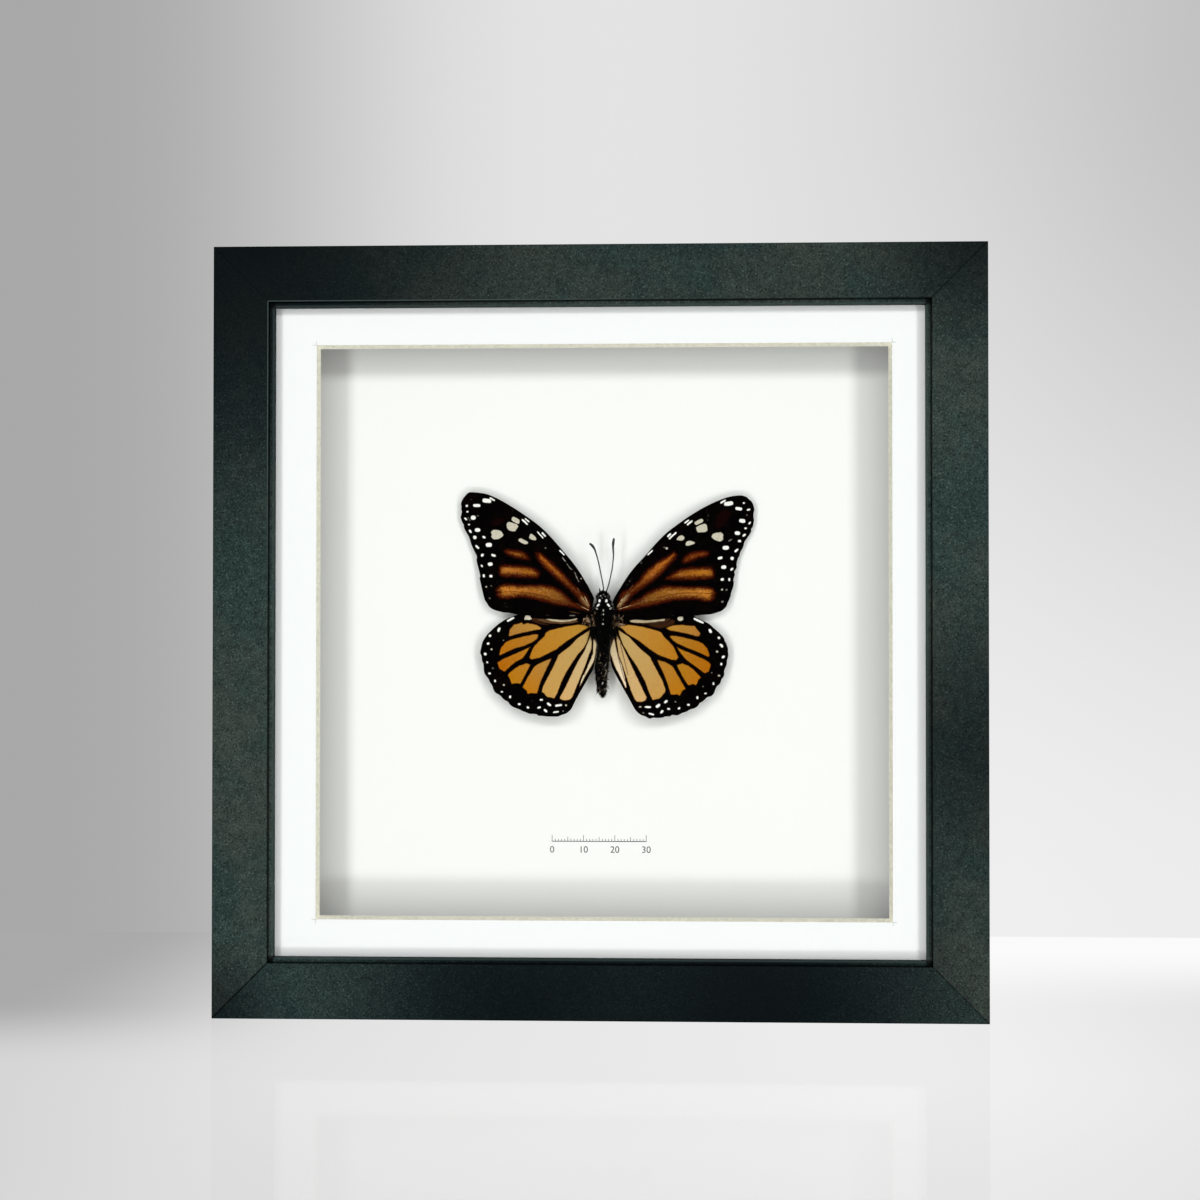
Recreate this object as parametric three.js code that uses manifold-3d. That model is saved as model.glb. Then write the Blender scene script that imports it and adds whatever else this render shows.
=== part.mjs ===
// A framed butterfly specimen: a black box frame with a glass front, a bevel-cut window mat and one
// spread butterfly carried on a hidden pin in front of a white card.
// Millimetres. X runs to the right, Y from the front to the wall and Z up. The origin is the middle of
// the bottom face, so the frame stands on Z = 0.
import * as THREE from "three";
import { mergeVertices } from "three/addons/utils/BufferGeometryUtils.js";
import Module from "manifold-3d";

const wasm = await Module();
wasm.setup();

// Frame and glazing. Depths are measured back from the front face.
const FRAME_SIDE = 240;
const FRAME_DEPTH = 35;
const FACE_WIDTH = 17.3;
const SIGHT_WIDTH = 19.1;
const WALL_WIDTH = 14.8;
const LIP_DEPTH = 4;
const ARRIS = 0.6;
const STEP_DEPTH = 1.1;
const GAP = 0.3;
const GLASS_THICK = 1.8;
const MAT_THICK = 1.4;
const MAT_WINDOW = 179.5;
const MAT_WINDOW_SHIFT = 1.2;
const SPACER_DEEP = 18;
const SPACER_WIDE = 9;
const CARD_THICK = 1.5;
const PANEL_THICK = 3;

// Steel points and hanger on the back.
const POINT_LENGTH = 12;
const POINT_WIDTH = 8;
const POINT_THICK = 0.5;
const POINT_BITE = 4;
const POINT_SPREAD = 55;
const HANGER_WIDTH = 44;
const HANGER_HEIGHT = 9;
const HANGER_THICK = 0.8;
const HANGER_STAND_OFF = 1.2;
const HANGER_TAB = 7;
const HANGER_TOOTH = 3;
const HANGER_TOP = 222;
const RIVET_RADIUS = 1;
const RIVET_HEAD_RADIUS = 2;

// Specimen. Its own middle is at SPECIMEN_X, SPECIMEN_Z; wings are traced from there as [right, up].
const SPECIMEN_X = 0.5;
const SPECIMEN_Z = 125.5;
const BODY_X = 0.35;
const BODY_DEPTH = 20.4;
const FOREWING_DEPTH = 20;
const FOREWING_DROP = [2.3, 3.5];
const FOREWING_SAG = 3.4;
const HINDWING_DEPTH = 21.1;
const HINDWING_DROP = [-2.6, 2.1];
const WING_THICK = 0.35;
const SPAN_STEPS = 9;
const MARGIN_STEPS = 32;
const PIN_RADIUS = 0.25;
const PIN_HOLE_RADIUS = 0.55;
const PIN_Z = -0.5;

const LEFT_FOREWING = {
  root: [[-3.6, -1.4], [-3.3, 1.8], [-2.6, 5.1]],
  costa: [[-2.6, 5.1], [-5, 9.7], [-8.5, 15.1], [-11.7, 19.1], [-16.5, 24.6], [-20, 28], [-25, 31.7],
    [-30.8, 35.4], [-35, 37.6], [-38.1, 38.6], [-42.3, 39], [-43.6, 38.4]],
  margin: [[-36.2, 2.4], [-37.7, 5], [-38.4, 7.4], [-39.3, 11.6], [-39.2, 12.3], [-40.1, 16.3],
    [-40.3, 18.6], [-41.8, 21.9], [-42.8, 24.8], [-44.4, 27.7], [-45.5, 31], [-45.1, 32.9],
    [-45.4, 35.3], [-44.6, 37.2], [-43.6, 38.4]],
  inner: [[-3.6, -1.4], [-6.5, -0.8], [-10, -1.4], [-12.5, -1.6], [-20, -1], [-25, -0.1], [-30, 0.6],
    [-34.2, 1.4], [-36.2, 2.4]],
};
const RIGHT_FOREWING = {
  root: [[4.2, -1.4], [3.8, 1.6], [3.1, 4]],
  costa: [[3.1, 4], [4, 6], [7.6, 11.7], [10, 14.9], [13.2, 18.5], [16.3, 22], [20, 25.7], [24.5, 29.2],
    [32.5, 34.3], [37.4, 36.5], [40.6, 37.5], [43.8, 37.8], [45.6, 37.3]],
  margin: [[38.3, 1.8], [39.5, 3.8], [40.6, 7], [41.4, 10.2], [41.3, 11], [41.8, 12.8], [41.5, 13.4],
    [42.4, 15], [42.4, 16.6], [43.5, 19.8], [44.7, 22.4], [45.4, 24], [46.9, 26.4], [47.8, 29.9],
    [47.7, 31.2], [47.9, 33.5], [47, 36], [45.6, 37.3]],
  inner: [[4.2, -1.4], [6.5, -0.8], [11.5, -1.4], [14, -1.6], [20, -1.1], [25.5, -0.6], [30, -0.2],
    [35, 0.3], [38.3, 1.8]],
};
const LEFT_HINDWING = {
  root: [[-3.6, -5.5], [-3.9, -3.8], [-4.1, -2.2]],
  costa: [[-4.1, -2.2], [-7, 0.2], [-12, 0.9], [-18, 1.3], [-23, 1.2], [-27.1, 0], [-32, -2.2]],
  margin: [[-10.8, -30.6], [-13, -31.7], [-16.2, -32.2], [-20.3, -32], [-20.8, -31.5], [-23, -31.4],
    [-25.5, -30.5], [-28.5, -29.2], [-30, -27.6], [-31.6, -26.7], [-34, -24.8], [-35.1, -22.5],
    [-37.1, -19.4], [-37.9, -17.3], [-38, -15.7], [-39, -12.3], [-38.6, -10], [-38.2, -8.5],
    [-36.7, -6.1], [-34.8, -4.3], [-32, -2.2]],
  inner: [[-3.6, -5.5], [-2.5, -7.5], [-2, -9.5], [-2.1, -12], [-2.4, -14.6], [-3.1, -17.3], [-5, -20.8],
    [-8.5, -27], [-9.5, -29.1], [-10.8, -30.6]],
};
const RIGHT_HINDWING = {
  root: [[4.2, -5.4], [4.5, -3.7], [4.7, -2.2]],
  costa: [[4.7, -2.2], [7.5, 0.2], [12.5, 0.8], [18, 1.2], [23.5, 1], [28.3, -0.3], [33, -2.7]],
  margin: [[12, -31.5], [13.9, -32.2], [16, -32.6], [18.9, -32.5], [22.1, -31.7], [24.2, -31.6],
    [26.7, -30.5], [29.5, -29.3], [30.7, -27.9], [33, -26.1], [35.2, -24.7], [36.1, -22.7],
    [38.3, -19.2], [38.4, -17.6], [39.2, -14.6], [39.7, -12.8], [39.5, -10.5], [38.5, -8.4],
    [37.1, -6.1], [35, -4.2], [33, -2.7]],
  inner: [[4.2, -5.4], [3.3, -7.5], [2.6, -9.5], [2.4, -11.5], [2.4, -13.6], [3.1, -16.9], [5, -20.5],
    [8.8, -27.1], [10.2, -29.7], [12, -31.5]],
};

// Where each flat layer starts, from the glass to the panel's back.
const GLASS_FRONT = LIP_DEPTH + GAP;
const MAT_FRONT = GLASS_FRONT + GLASS_THICK + GAP;
const MAT_BACK = MAT_FRONT + MAT_THICK;
const SPACER_FRONT = MAT_BACK + GAP;
const CARD_FRONT = SPACER_FRONT + SPACER_DEEP + GAP;
const CARD_BACK = CARD_FRONT + CARD_THICK;
const PANEL_FRONT = CARD_BACK + GAP;
const PANEL_BACK = PANEL_FRONT + PANEL_THICK;
const MIDDLE_Z = FRAME_SIDE / 2;
const PANE_SIDE = FRAME_SIDE - 2 * WALL_WIDTH - 2 * GAP;

const yOf = (depth) => depth - FRAME_DEPTH / 2;

const finish = (color, roughness, metalness = 0) => ({ color, roughness, metalness });
const BLACK_PAINT = finish(0x20272a, 0.45);
const CLEAR_GLASS = { ...finish(0xe8f2ee, 0.05), transparent: true, opacity: 0.2 };
const MAT_BOARD = finish(0xf1f3f4, 0.9);
const WHITE_FOAM = finish(0xf4f4f2, 0.85);
const WHITE_CARD = finish(0xf6f7f5, 0.9);
const HARDBOARD = finish(0x7a5a3c, 0.8);
const STEEL = finish(0xa9adb0, 0.35, 0.9);
const FOREWING_SCALES = finish(0x3a2411, 0.8);
const HINDWING_SCALES = finish(0xa8701f, 0.8);
const BODY_HAIR = finish(0x14110f, 0.95);
const CHITIN = finish(0x0d0c0b, 0.5);

// A named mesh with its own material.
function piece(name, geometry, look) {
  geometry.computeVertexNormals();
  const mesh = new THREE.Mesh(geometry, new THREE.MeshStandardMaterial(look));
  mesh.name = name;
  return mesh;
}

// A triangle mesh from points and triples of their numbers.
function meshOf(points, faces) {
  const geometry = new THREE.BufferGeometry().setFromPoints(points);
  geometry.setIndex(faces.flat());
  return geometry;
}

// A closed three.js geometry as a solid for cutting and joining, and back.
function toSolid(geometry) {
  const bare = geometry.index ? geometry.toNonIndexed() : geometry.clone();
  bare.deleteAttribute("normal");
  bare.deleteAttribute("uv");
  const merged = mergeVertices(bare, 1e-4);
  const triVerts = Uint32Array.from(merged.index.array);
  return new wasm.Manifold(new wasm.Mesh({
    numProp: 3, vertProperties: merged.attributes.position.array, triVerts,
  }));
}
function toGeometry(solid) {
  const mesh = solid.getMesh();
  const geometry = new THREE.BufferGeometry();
  geometry.setAttribute("position", new THREE.BufferAttribute(mesh.vertProperties, 3));
  geometry.setIndex(new THREE.BufferAttribute(mesh.triVerts, 1));
  return geometry;
}

// A solid skin over rings of equal count, each counter-clockwise about the way the rings advance.
// The ends close on a point each, or the last ring joins the first where no points are given.
function skin(rings, start, end) {
  const sides = rings[0].length;
  const points = rings.flat();
  const faces = [];
  const bands = start ? rings.length - 1 : rings.length;
  for (let i = 0; i < bands; i++) {
    const here = i * sides;
    const next = ((i + 1) % rings.length) * sides;
    for (let k = 0; k < sides; k++) {
      const l = (k + 1) % sides;
      faces.push([here + k, here + l, next + l], [here + k, next + l, next + k]);
    }
  }
  if (start) {
    const last = (rings.length - 1) * sides;
    points.push(start, end);
    for (let k = 0; k < sides; k++) {
      const l = (k + 1) % sides;
      faces.push([points.length - 2, l, k], [points.length - 1, last + k, last + l]);
    }
  }
  return meshOf(points, faces);
}

// Frame: one moulding, mitred at both ends, used on all four sides.
function mouldingGeometry() {
  const profile = [
    [0, ARRIS], [0.3 * ARRIS, 0.3 * ARRIS], [ARRIS, 0],
    [FACE_WIDTH - 0.3, 0], [FACE_WIDTH, 0.2], [FACE_WIDTH + 0.05, STEP_DEPTH],
    [FACE_WIDTH + 0.7, STEP_DEPTH + 0.4], [SIGHT_WIDTH - 0.2, STEP_DEPTH + 0.6],
    [SIGHT_WIDTH, STEP_DEPTH + 0.9], [SIGHT_WIDTH, LIP_DEPTH],
    [WALL_WIDTH, LIP_DEPTH], [WALL_WIDTH, FRAME_DEPTH], [0.4, FRAME_DEPTH], [0, FRAME_DEPTH - 0.4],
  ].map(([inward, depth]) => new THREE.Vector2(inward, depth));
  const mitreGap = GAP / Math.SQRT2;
  const endOf = (side) => profile.map((p) =>
    new THREE.Vector3(side * (MIDDLE_Z - p.x - mitreGap), yOf(p.y), p.x));
  const count = profile.length;
  const faces = [];
  for (let k = 0; k < count; k++) {
    const l = (k + 1) % count;
    faces.push([k, l, count + l], [k, count + l, count + k]);
  }
  for (const [a, b, c] of THREE.ShapeUtils.triangulateShape(profile, [])) {
    faces.push([a, c, b], [count + a, count + b, count + c]);
  }
  const solid = toSolid(meshOf([...endOf(-1), ...endOf(1)], faces));
  return solid.volume() < 0 ? toSolid(meshOf([...endOf(1), ...endOf(-1)], faces)) : solid;
}

// A slot in the rebate wall for a steel point.
function kerf(x) {
  const reach = POINT_BITE + GAP;
  const box = new THREE.BoxGeometry(POINT_WIDTH + 2 * GAP, POINT_THICK + 2 * GAP, reach + 1);
  box.translate(x, yOf(PANEL_BACK + GAP + POINT_THICK / 2), WALL_WIDTH - reach / 2 + 0.5);
  return toSolid(box);
}

// Each rail stands in a group turned about the frame's middle.
function frameRails() {
  const frame = new THREE.Group();
  const rail = toGeometry(mouldingGeometry().subtract(kerf(-POINT_SPREAD)).subtract(kerf(POINT_SPREAD)));
  ["bottom", "left", "top", "right"].forEach((side, quarter) => {
    const turned = new THREE.Group();
    turned.position.z = MIDDLE_Z;
    turned.rotation.y = quarter * Math.PI / 2;
    const mesh = piece("rail_" + side, rail.clone(), BLACK_PAINT);
    mesh.position.z = -MIDDLE_Z;
    turned.add(mesh);
    [-1, 1].forEach((hand, place) => {
      const point = piece("point_" + (2 * quarter + place + 1), pointGeometry(), STEEL);
      const root = WALL_WIDTH - POINT_BITE - MIDDLE_Z;
      point.position.set(hand * POINT_SPREAD, yOf(PANEL_BACK + GAP), root);
      turned.add(point);
    });
    frame.add(turned);
  });
  return frame;
}

// A flat steel point: its tapered end lies in the rail, its square end over the panel.
function pointGeometry() {
  const half = POINT_WIDTH / 2;
  const outline = new THREE.Shape([
    new THREE.Vector2(0, 0), new THREE.Vector2(half, -POINT_BITE * 0.8),
    new THREE.Vector2(half, -POINT_LENGTH), new THREE.Vector2(-half, -POINT_LENGTH),
    new THREE.Vector2(-half, -POINT_BITE * 0.8),
  ]);
  const plate = new THREE.ExtrudeGeometry(outline, { depth: POINT_THICK, bevelEnabled: false });
  return plate.rotateX(-Math.PI / 2);
}

// A square sheet between two depths.
function sheetGeometry(side, front, thick) {
  return new THREE.BoxGeometry(side, thick, side).translate(0, yOf(front + thick / 2), MIDDLE_Z);
}

// The mat: a square sheet with a window whose edge slopes in at 45 degrees from front to back.
function matGeometry() {
  const loop = (side, depth, shift) => [[-1, -1], [-1, 1], [1, 1], [1, -1]].map(([x, z]) =>
    new THREE.Vector3(shift + x * side / 2, yOf(depth), MIDDLE_Z + z * side / 2));
  const bevelEnd = MAT_WINDOW - 2 * MAT_THICK;
  return skin([
    loop(PANE_SIDE, MAT_FRONT, 0), loop(PANE_SIDE, MAT_BACK, 0),
    loop(bevelEnd, MAT_BACK, MAT_WINDOW_SHIFT), loop(MAT_WINDOW, MAT_FRONT, MAT_WINDOW_SHIFT),
  ]);
}

// Foam strips round the edge between the mat and the card. The upright pair fits between the others.
function spacers() {
  const group = new THREE.Group();
  const offset = (PANE_SIDE - SPACER_WIDE) / 2;
  const lengths = { bottom: PANE_SIDE, top: PANE_SIDE };
  lengths.left = PANE_SIDE - 2 * SPACER_WIDE - 2 * GAP;
  lengths.right = lengths.left;
  const places = { bottom: [0, -offset], top: [0, offset], left: [-offset, 0], right: [offset, 0] };
  for (const [side, [x, z]] of Object.entries(places)) {
    const upright = z === 0;
    const wide = upright ? SPACER_WIDE : lengths[side];
    const high = upright ? lengths[side] : SPACER_WIDE;
    const strip = piece("spacer_" + side, new THREE.BoxGeometry(wide, SPACER_DEEP, high), WHITE_FOAM);
    strip.position.set(x, yOf(SPACER_FRONT + SPACER_DEEP / 2), MIDDLE_Z + z);
    group.add(strip);
  }
  return group;
}

// A cylinder along Y between two depths.
function rodGeometry(radius, front, back, sides = 12) {
  const rod = new THREE.CylinderGeometry(radius, radius, back - front, sides);
  return rod.translate(0, yOf((front + back) / 2), 0);
}

function cardGeometry() {
  const hole = rodGeometry(PIN_HOLE_RADIUS, CARD_FRONT - 1, CARD_BACK + 1);
  hole.translate(SPECIMEN_X + BODY_X, 0, SPECIMEN_Z + PIN_Z);
  return toGeometry(toSolid(sheetGeometry(PANE_SIDE, CARD_FRONT, CARD_THICK)).subtract(toSolid(hole)));
}

// Hanger: a bowed strip with a row of teeth along its lower edge, riveted to the panel at both ends.
const RIVET_X = (HANGER_WIDTH - HANGER_TAB) / 2;
const RIVET_Z = HANGER_TOP - HANGER_HEIGHT / 2;
const HANGER_FRONT = PANEL_BACK + GAP;

function rivetHole(hand) {
  const hole = rodGeometry(RIVET_RADIUS + GAP, PANEL_BACK - PANEL_THICK / 2, FRAME_DEPTH);
  return toSolid(hole.translate(hand * RIVET_X, 0, RIVET_Z));
}

function panelGeometry() {
  const sheet = toSolid(sheetGeometry(PANE_SIDE, PANEL_FRONT, PANEL_THICK));
  return toGeometry(sheet.subtract(rivetHole(-1)).subtract(rivetHole(1)));
}

function hangerGeometry() {
  const end = HANGER_WIDTH / 2;
  const bend = end - HANGER_TAB;
  const rise = bend - 2;
  const low = HANGER_FRONT;
  const high = HANGER_FRONT + HANGER_STAND_OFF;
  const wall = [[-end, low], [-bend, low], [-rise, high], [rise, high], [bend, low], [end, low]];
  const back = wall.map(([x, depth]) => [x, depth + HANGER_THICK]).reverse();
  const outline = [...wall, ...back].map(([x, depth]) => new THREE.Vector2(x, yOf(depth)));
  const strip = new THREE.ExtrudeGeometry(new THREE.Shape(outline),
    { depth: HANGER_HEIGHT, bevelEnabled: false });
  let solid = toSolid(strip.translate(0, 0, HANGER_TOP - HANGER_HEIGHT));
  for (let x = -rise + HANGER_TOOTH; x <= rise - HANGER_TOOTH; x += HANGER_TOOTH) {
    const notch = new THREE.CylinderGeometry(HANGER_TOOTH / 2, HANGER_TOOTH / 2, 6, 4);
    notch.translate(x, yOf(high), HANGER_TOP - HANGER_HEIGHT);
    solid = solid.subtract(toSolid(notch));
  }
  return toGeometry(solid.subtract(rivetHole(-1)).subtract(rivetHole(1)));
}

function rivet(hand) {
  const neck = PANEL_BACK - PANEL_THICK / 2 + GAP;
  const under = HANGER_FRONT + HANGER_THICK + GAP;
  const profile = [[0, neck], [RIVET_RADIUS, neck], [RIVET_RADIUS, under], [RIVET_HEAD_RADIUS, under],
    [RIVET_HEAD_RADIUS * 0.8, under + 0.6], [0, under + 0.9]];
  const turned = new THREE.LatheGeometry(profile.map(([r, depth]) => new THREE.Vector2(r, yOf(depth))), 12);
  turned.translate(hand * RIVET_X, 0, RIVET_Z);
  return piece(hand < 0 ? "hanger_rivet_left" : "hanger_rivet_right", turned, STEEL);
}

// How far back a wing lies, with s from its root out and t from its inner margin up to its front edge.
// A forewing drops back towards the card along its whole outer margin, most in the middle of it. A
// hindwing drops back towards its upper corner and comes forward at its lower one.
const forewingDepth = (s, t) =>
  FOREWING_DEPTH + s * (FOREWING_DROP[0] * (1 - t) + FOREWING_DROP[1] * t + FOREWING_SAG * t * (1 - t));
const hindwingDepth = (s, t) =>
  HINDWING_DEPTH + s * (HINDWING_DROP[0] * (1 - t) + HINDWING_DROP[1] * t);

// Wings: a patch between four traced edges.
const edgeCurve = (points) =>
  new THREE.CatmullRomCurve3(points.map(([x, z]) => new THREE.Vector3(x, 0, z)), false, "centripetal");

function wingGeometry(trace, depthAt) {
  const root = edgeCurve(trace.root);
  const costa = edgeCurve(trace.costa);
  const margin = edgeCurve(trace.margin);
  const inner = edgeCurve(trace.inner);
  const onPatch = (s, t) => {
    const along = inner.getPointAt(s).multiplyScalar(1 - t).addScaledVector(costa.getPointAt(s), t);
    const across = root.getPointAt(t).multiplyScalar(1 - s).addScaledVector(margin.getPointAt(t), s);
    const corners = root.getPoint(0).multiplyScalar((1 - s) * (1 - t))
      .addScaledVector(root.getPoint(1), (1 - s) * t)
      .addScaledVector(margin.getPoint(0), s * (1 - t))
      .addScaledVector(margin.getPoint(1), s * t);
    return along.add(across).sub(corners);
  };
  const rows = MARGIN_STEPS + 1;
  const count = (SPAN_STEPS + 1) * rows;
  const layers = [[], []];
  for (let i = 0; i <= SPAN_STEPS; i++) {
    for (let j = 0; j <= MARGIN_STEPS; j++) {
      const s = i / SPAN_STEPS;
      const t = j / MARGIN_STEPS;
      const point = onPatch(s, t);
      const middle = yOf(depthAt(s, t));
      layers[0].push(new THREE.Vector3(point.x, middle - WING_THICK / 2, point.z));
      layers[1].push(new THREE.Vector3(point.x, middle + WING_THICK / 2, point.z));
    }
  }
  const faces = [];
  const rim = [];
  const numberOf = (i, j) => i * rows + j;
  for (let i = 0; i < SPAN_STEPS; i++) {
    for (let j = 0; j < MARGIN_STEPS; j++) {
      const quad = [numberOf(i, j), numberOf(i + 1, j), numberOf(i + 1, j + 1), numberOf(i, j + 1)];
      const [a, b, c, d] = quad;
      faces.push([a, b, c], [a, c, d]);
      faces.push([count + a, count + c, count + b], [count + a, count + d, count + c]);
    }
  }
  for (let i = 0; i < SPAN_STEPS; i++) rim.push(numberOf(i, 0));
  for (let j = 0; j < MARGIN_STEPS; j++) rim.push(numberOf(SPAN_STEPS, j));
  for (let i = SPAN_STEPS; i > 0; i--) rim.push(numberOf(i, MARGIN_STEPS));
  for (let j = MARGIN_STEPS; j > 0; j--) rim.push(numberOf(0, j));
  rim.forEach((p, k) => {
    const q = rim[(k + 1) % rim.length];
    faces.push([p, count + p, count + q], [p, count + q, q]);
  });
  const facesLeft = trace.margin[0][0] < 0;
  return meshOf(layers.flat(), facesLeft ? faces.map(([a, b, c]) => [a, c, b]) : faces);
}

// A body part: level slices listed upwards as [height, middle, half width, half depth, depth].
function slicesGeometry(slices, sides = 14) {
  const rings = slices.slice(1, -1).map(([z, x, wide, deep, depth]) =>
    Array.from({ length: sides }, (_, k) => {
      const turn = 2 * Math.PI * k / sides;
      return new THREE.Vector3(x + wide * Math.cos(turn), yOf(depth) + deep * Math.sin(turn), z);
    }));
  const poleOf = ([z, x, , , depth]) => new THREE.Vector3(x, yOf(depth), z);
  return skin(rings, poleOf(slices[0]), poleOf(slices[slices.length - 1]));
}

// A limb: a round tapering tube along points [right, depth, up], with a radius given at each.
function limbGeometry(points, radii, steps, sides) {
  const path = new THREE.CatmullRomCurve3(points.map(([x, depth, z]) =>
    new THREE.Vector3(x, yOf(depth), z)), false, "centripetal");
  const frames = path.computeFrenetFrames(steps, false);
  const rings = [];
  for (let i = 0; i <= steps; i++) {
    const place = i / steps * (radii.length - 1);
    const first = Math.min(Math.floor(place), radii.length - 2);
    const radius = THREE.MathUtils.lerp(radii[first], radii[first + 1], place - first);
    const centre = path.getPointAt(i / steps);
    rings.push(Array.from({ length: sides }, (_, k) => {
      const turn = 2 * Math.PI * k / sides;
      return centre.clone().addScaledVector(frames.normals[i], radius * Math.cos(turn))
        .addScaledVector(frames.binormals[i], radius * Math.sin(turn));
    }));
  }
  const tip = (end, i) => path.getPoint(end).addScaledVector(frames.tangents[i], (2 * end - 1) * 0.1);
  return skin(rings, tip(0, 0), tip(1, steps));
}

// Head: a rounded capsule with two bulging eyes and a pair of short palpi.
const HEAD_X = 0.15;
function headGeometry() {
  let solid = toSolid(slicesGeometry([
    [4.85, HEAD_X, 0, 0, BODY_DEPTH - 0.4], [5, HEAD_X, 0.9, 0.9, BODY_DEPTH - 0.4],
    [5.6, HEAD_X, 1.3, 1.2, BODY_DEPTH - 0.4], [6.2, HEAD_X, 1.2, 1.1, BODY_DEPTH - 0.4],
    [6.8, HEAD_X, 0.7, 0.8, BODY_DEPTH - 0.4], [7, HEAD_X, 0, 0, BODY_DEPTH - 0.4],
  ]));
  for (const hand of [-1, 1]) {
    const eye = new THREE.SphereGeometry(0.85, 12, 8);
    eye.translate(HEAD_X + hand * 1.2, yOf(BODY_DEPTH - 0.4), 5.75);
    const palp = limbGeometry([[HEAD_X + hand * 0.5, BODY_DEPTH - 0.2, 6.2],
      [HEAD_X + hand * 0.9, BODY_DEPTH - 0.4, 7.2], [HEAD_X + hand * 0.9, BODY_DEPTH - 0.6, 8]],
    [0.35, 0.25, 0.08], 4, 6);
    solid = solid.add(toSolid(eye)).add(toSolid(palp));
  }
  return toGeometry(solid);
}

// Thorax, with the blind hole that the pin stands in.
function thoraxGeometry() {
  const solid = toSolid(slicesGeometry([
    [-7.6, BODY_X, 0, 0, BODY_DEPTH + 0.3], [-7.4, BODY_X, 1.2, 1.2, BODY_DEPTH + 0.3],
    [-6.8, BODY_X, 2, 1.8, BODY_DEPTH + 0.2], [-5, BODY_X, 2.7, 2.4, BODY_DEPTH + 0.1],
    [-2.5, BODY_X, 3.2, 2.8, BODY_DEPTH], [0, BODY_X, 3.2, 2.8, BODY_DEPTH],
    [2, BODY_X - 0.05, 2.6, 2.4, BODY_DEPTH], [3.4, BODY_X - 0.1, 1.9, 1.8, BODY_DEPTH - 0.1],
    [4.3, BODY_X - 0.15, 1.2, 1.1, BODY_DEPTH - 0.2], [4.5, BODY_X - 0.15, 0, 0, BODY_DEPTH - 0.2],
  ], 18));
  const socket = rodGeometry(PIN_HOLE_RADIUS, BODY_DEPTH + 1, CARD_FRONT).translate(BODY_X, 0, PIN_Z);
  return toGeometry(solid.subtract(toSolid(socket)));
}

function abdomenGeometry() {
  return slicesGeometry([
    [-25.9, -0.05, 0, 0, BODY_DEPTH + 1.2], [-25.5, -0.05, 0.5, 0.5, BODY_DEPTH + 1.2],
    [-24.5, -0.1, 1, 0.9, BODY_DEPTH + 1.1], [-22.5, -0.3, 1.45, 1.3, BODY_DEPTH + 1],
    [-20, -0.45, 1.75, 1.6, BODY_DEPTH + 0.8], [-17.5, -0.35, 1.95, 1.8, BODY_DEPTH + 0.7],
    [-15, -0.1, 1.9, 1.85, BODY_DEPTH + 0.6], [-12.5, 0.05, 1.8, 1.8, BODY_DEPTH + 0.5],
    [-10, 0.3, 1.8, 1.75, BODY_DEPTH + 0.4], [-8.2, BODY_X, 1.2, 1.2, BODY_DEPTH + 0.3],
    [-7.95, BODY_X, 0, 0, BODY_DEPTH + 0.3],
  ]);
}

// Antennae: thin stalks with a club, each bent as it dried.
const LEFT_ANTENNA = [[0.2, 19.8, 7.35], [0.3, 19.7, 8.4], [-0.3, 19.5, 11.4], [-1.1, 19.3, 15.8],
  [-2.1, 19.1, 19.5], [-2.5, 19, 20.7], [-3.2, 19, 21.8], [-4.1, 19, 22.5]];
const RIGHT_ANTENNA = [[1.2, 19.8, 7.3], [1.4, 19.7, 7.9], [2.4, 19.5, 11.1], [3.1, 19.3, 14.7],
  [3.5, 19.1, 18.7], [3.3, 19, 21.8], [3.6, 19, 24.1]];
const ANTENNA_RADII = [0.18, 0.18, 0.18, 0.18, 0.18, 0.2, 0.3, 0.26];

// Walking legs: folded flat under the body. The right ones mirror the left about the body's middle.
const FRONT_LEG = [[-1.1, 23.9, 2.4], [-2.7, 24.4, 0.6], [-2.3, 24.9, -2.6], [-1.3, 25.4, -5.6]];
const REAR_LEG = [[-1.3, 23.7, -1.9], [-3.7, 23.9, -4], [-4, 24.6, -8], [-2.8, 25.3, -12]];
const LEG_RADII = [0.4, 0.34, 0.26, 0.18];

function specimen() {
  const insect = new THREE.Group();
  insect.position.set(SPECIMEN_X, 0, SPECIMEN_Z);
  insect.add(
    piece("left_hindwing", wingGeometry(LEFT_HINDWING, hindwingDepth), HINDWING_SCALES),
    piece("right_hindwing", wingGeometry(RIGHT_HINDWING, hindwingDepth), HINDWING_SCALES),
    piece("left_forewing", wingGeometry(LEFT_FOREWING, forewingDepth), FOREWING_SCALES),
    piece("right_forewing", wingGeometry(RIGHT_FOREWING, forewingDepth), FOREWING_SCALES),
    piece("head", headGeometry(), BODY_HAIR),
    piece("thorax", thoraxGeometry(), BODY_HAIR),
    piece("abdomen", abdomenGeometry(), BODY_HAIR),
    piece("left_antenna", limbGeometry(LEFT_ANTENNA, ANTENNA_RADII, 16, 6), CHITIN),
    piece("right_antenna", limbGeometry(RIGHT_ANTENNA, ANTENNA_RADII, 16, 6), CHITIN),
  );
  for (const [name, path] of [["leg_front", FRONT_LEG], ["leg_rear", REAR_LEG]]) {
    const mirrored = path.map(([x, depth, z]) => [2 * BODY_X - x, depth, z]);
    insect.add(piece(name + "_left", limbGeometry(path, LEG_RADII, 8, 6), CHITIN));
    insect.add(piece(name + "_right", limbGeometry(mirrored, LEG_RADII, 8, 6), CHITIN));
  }
  const pin = piece("body_pin", rodGeometry(PIN_RADIUS, BODY_DEPTH + 1 + GAP, CARD_BACK), STEEL);
  pin.position.set(BODY_X, 0, PIN_Z);
  insect.add(pin);
  return insect;
}

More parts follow.
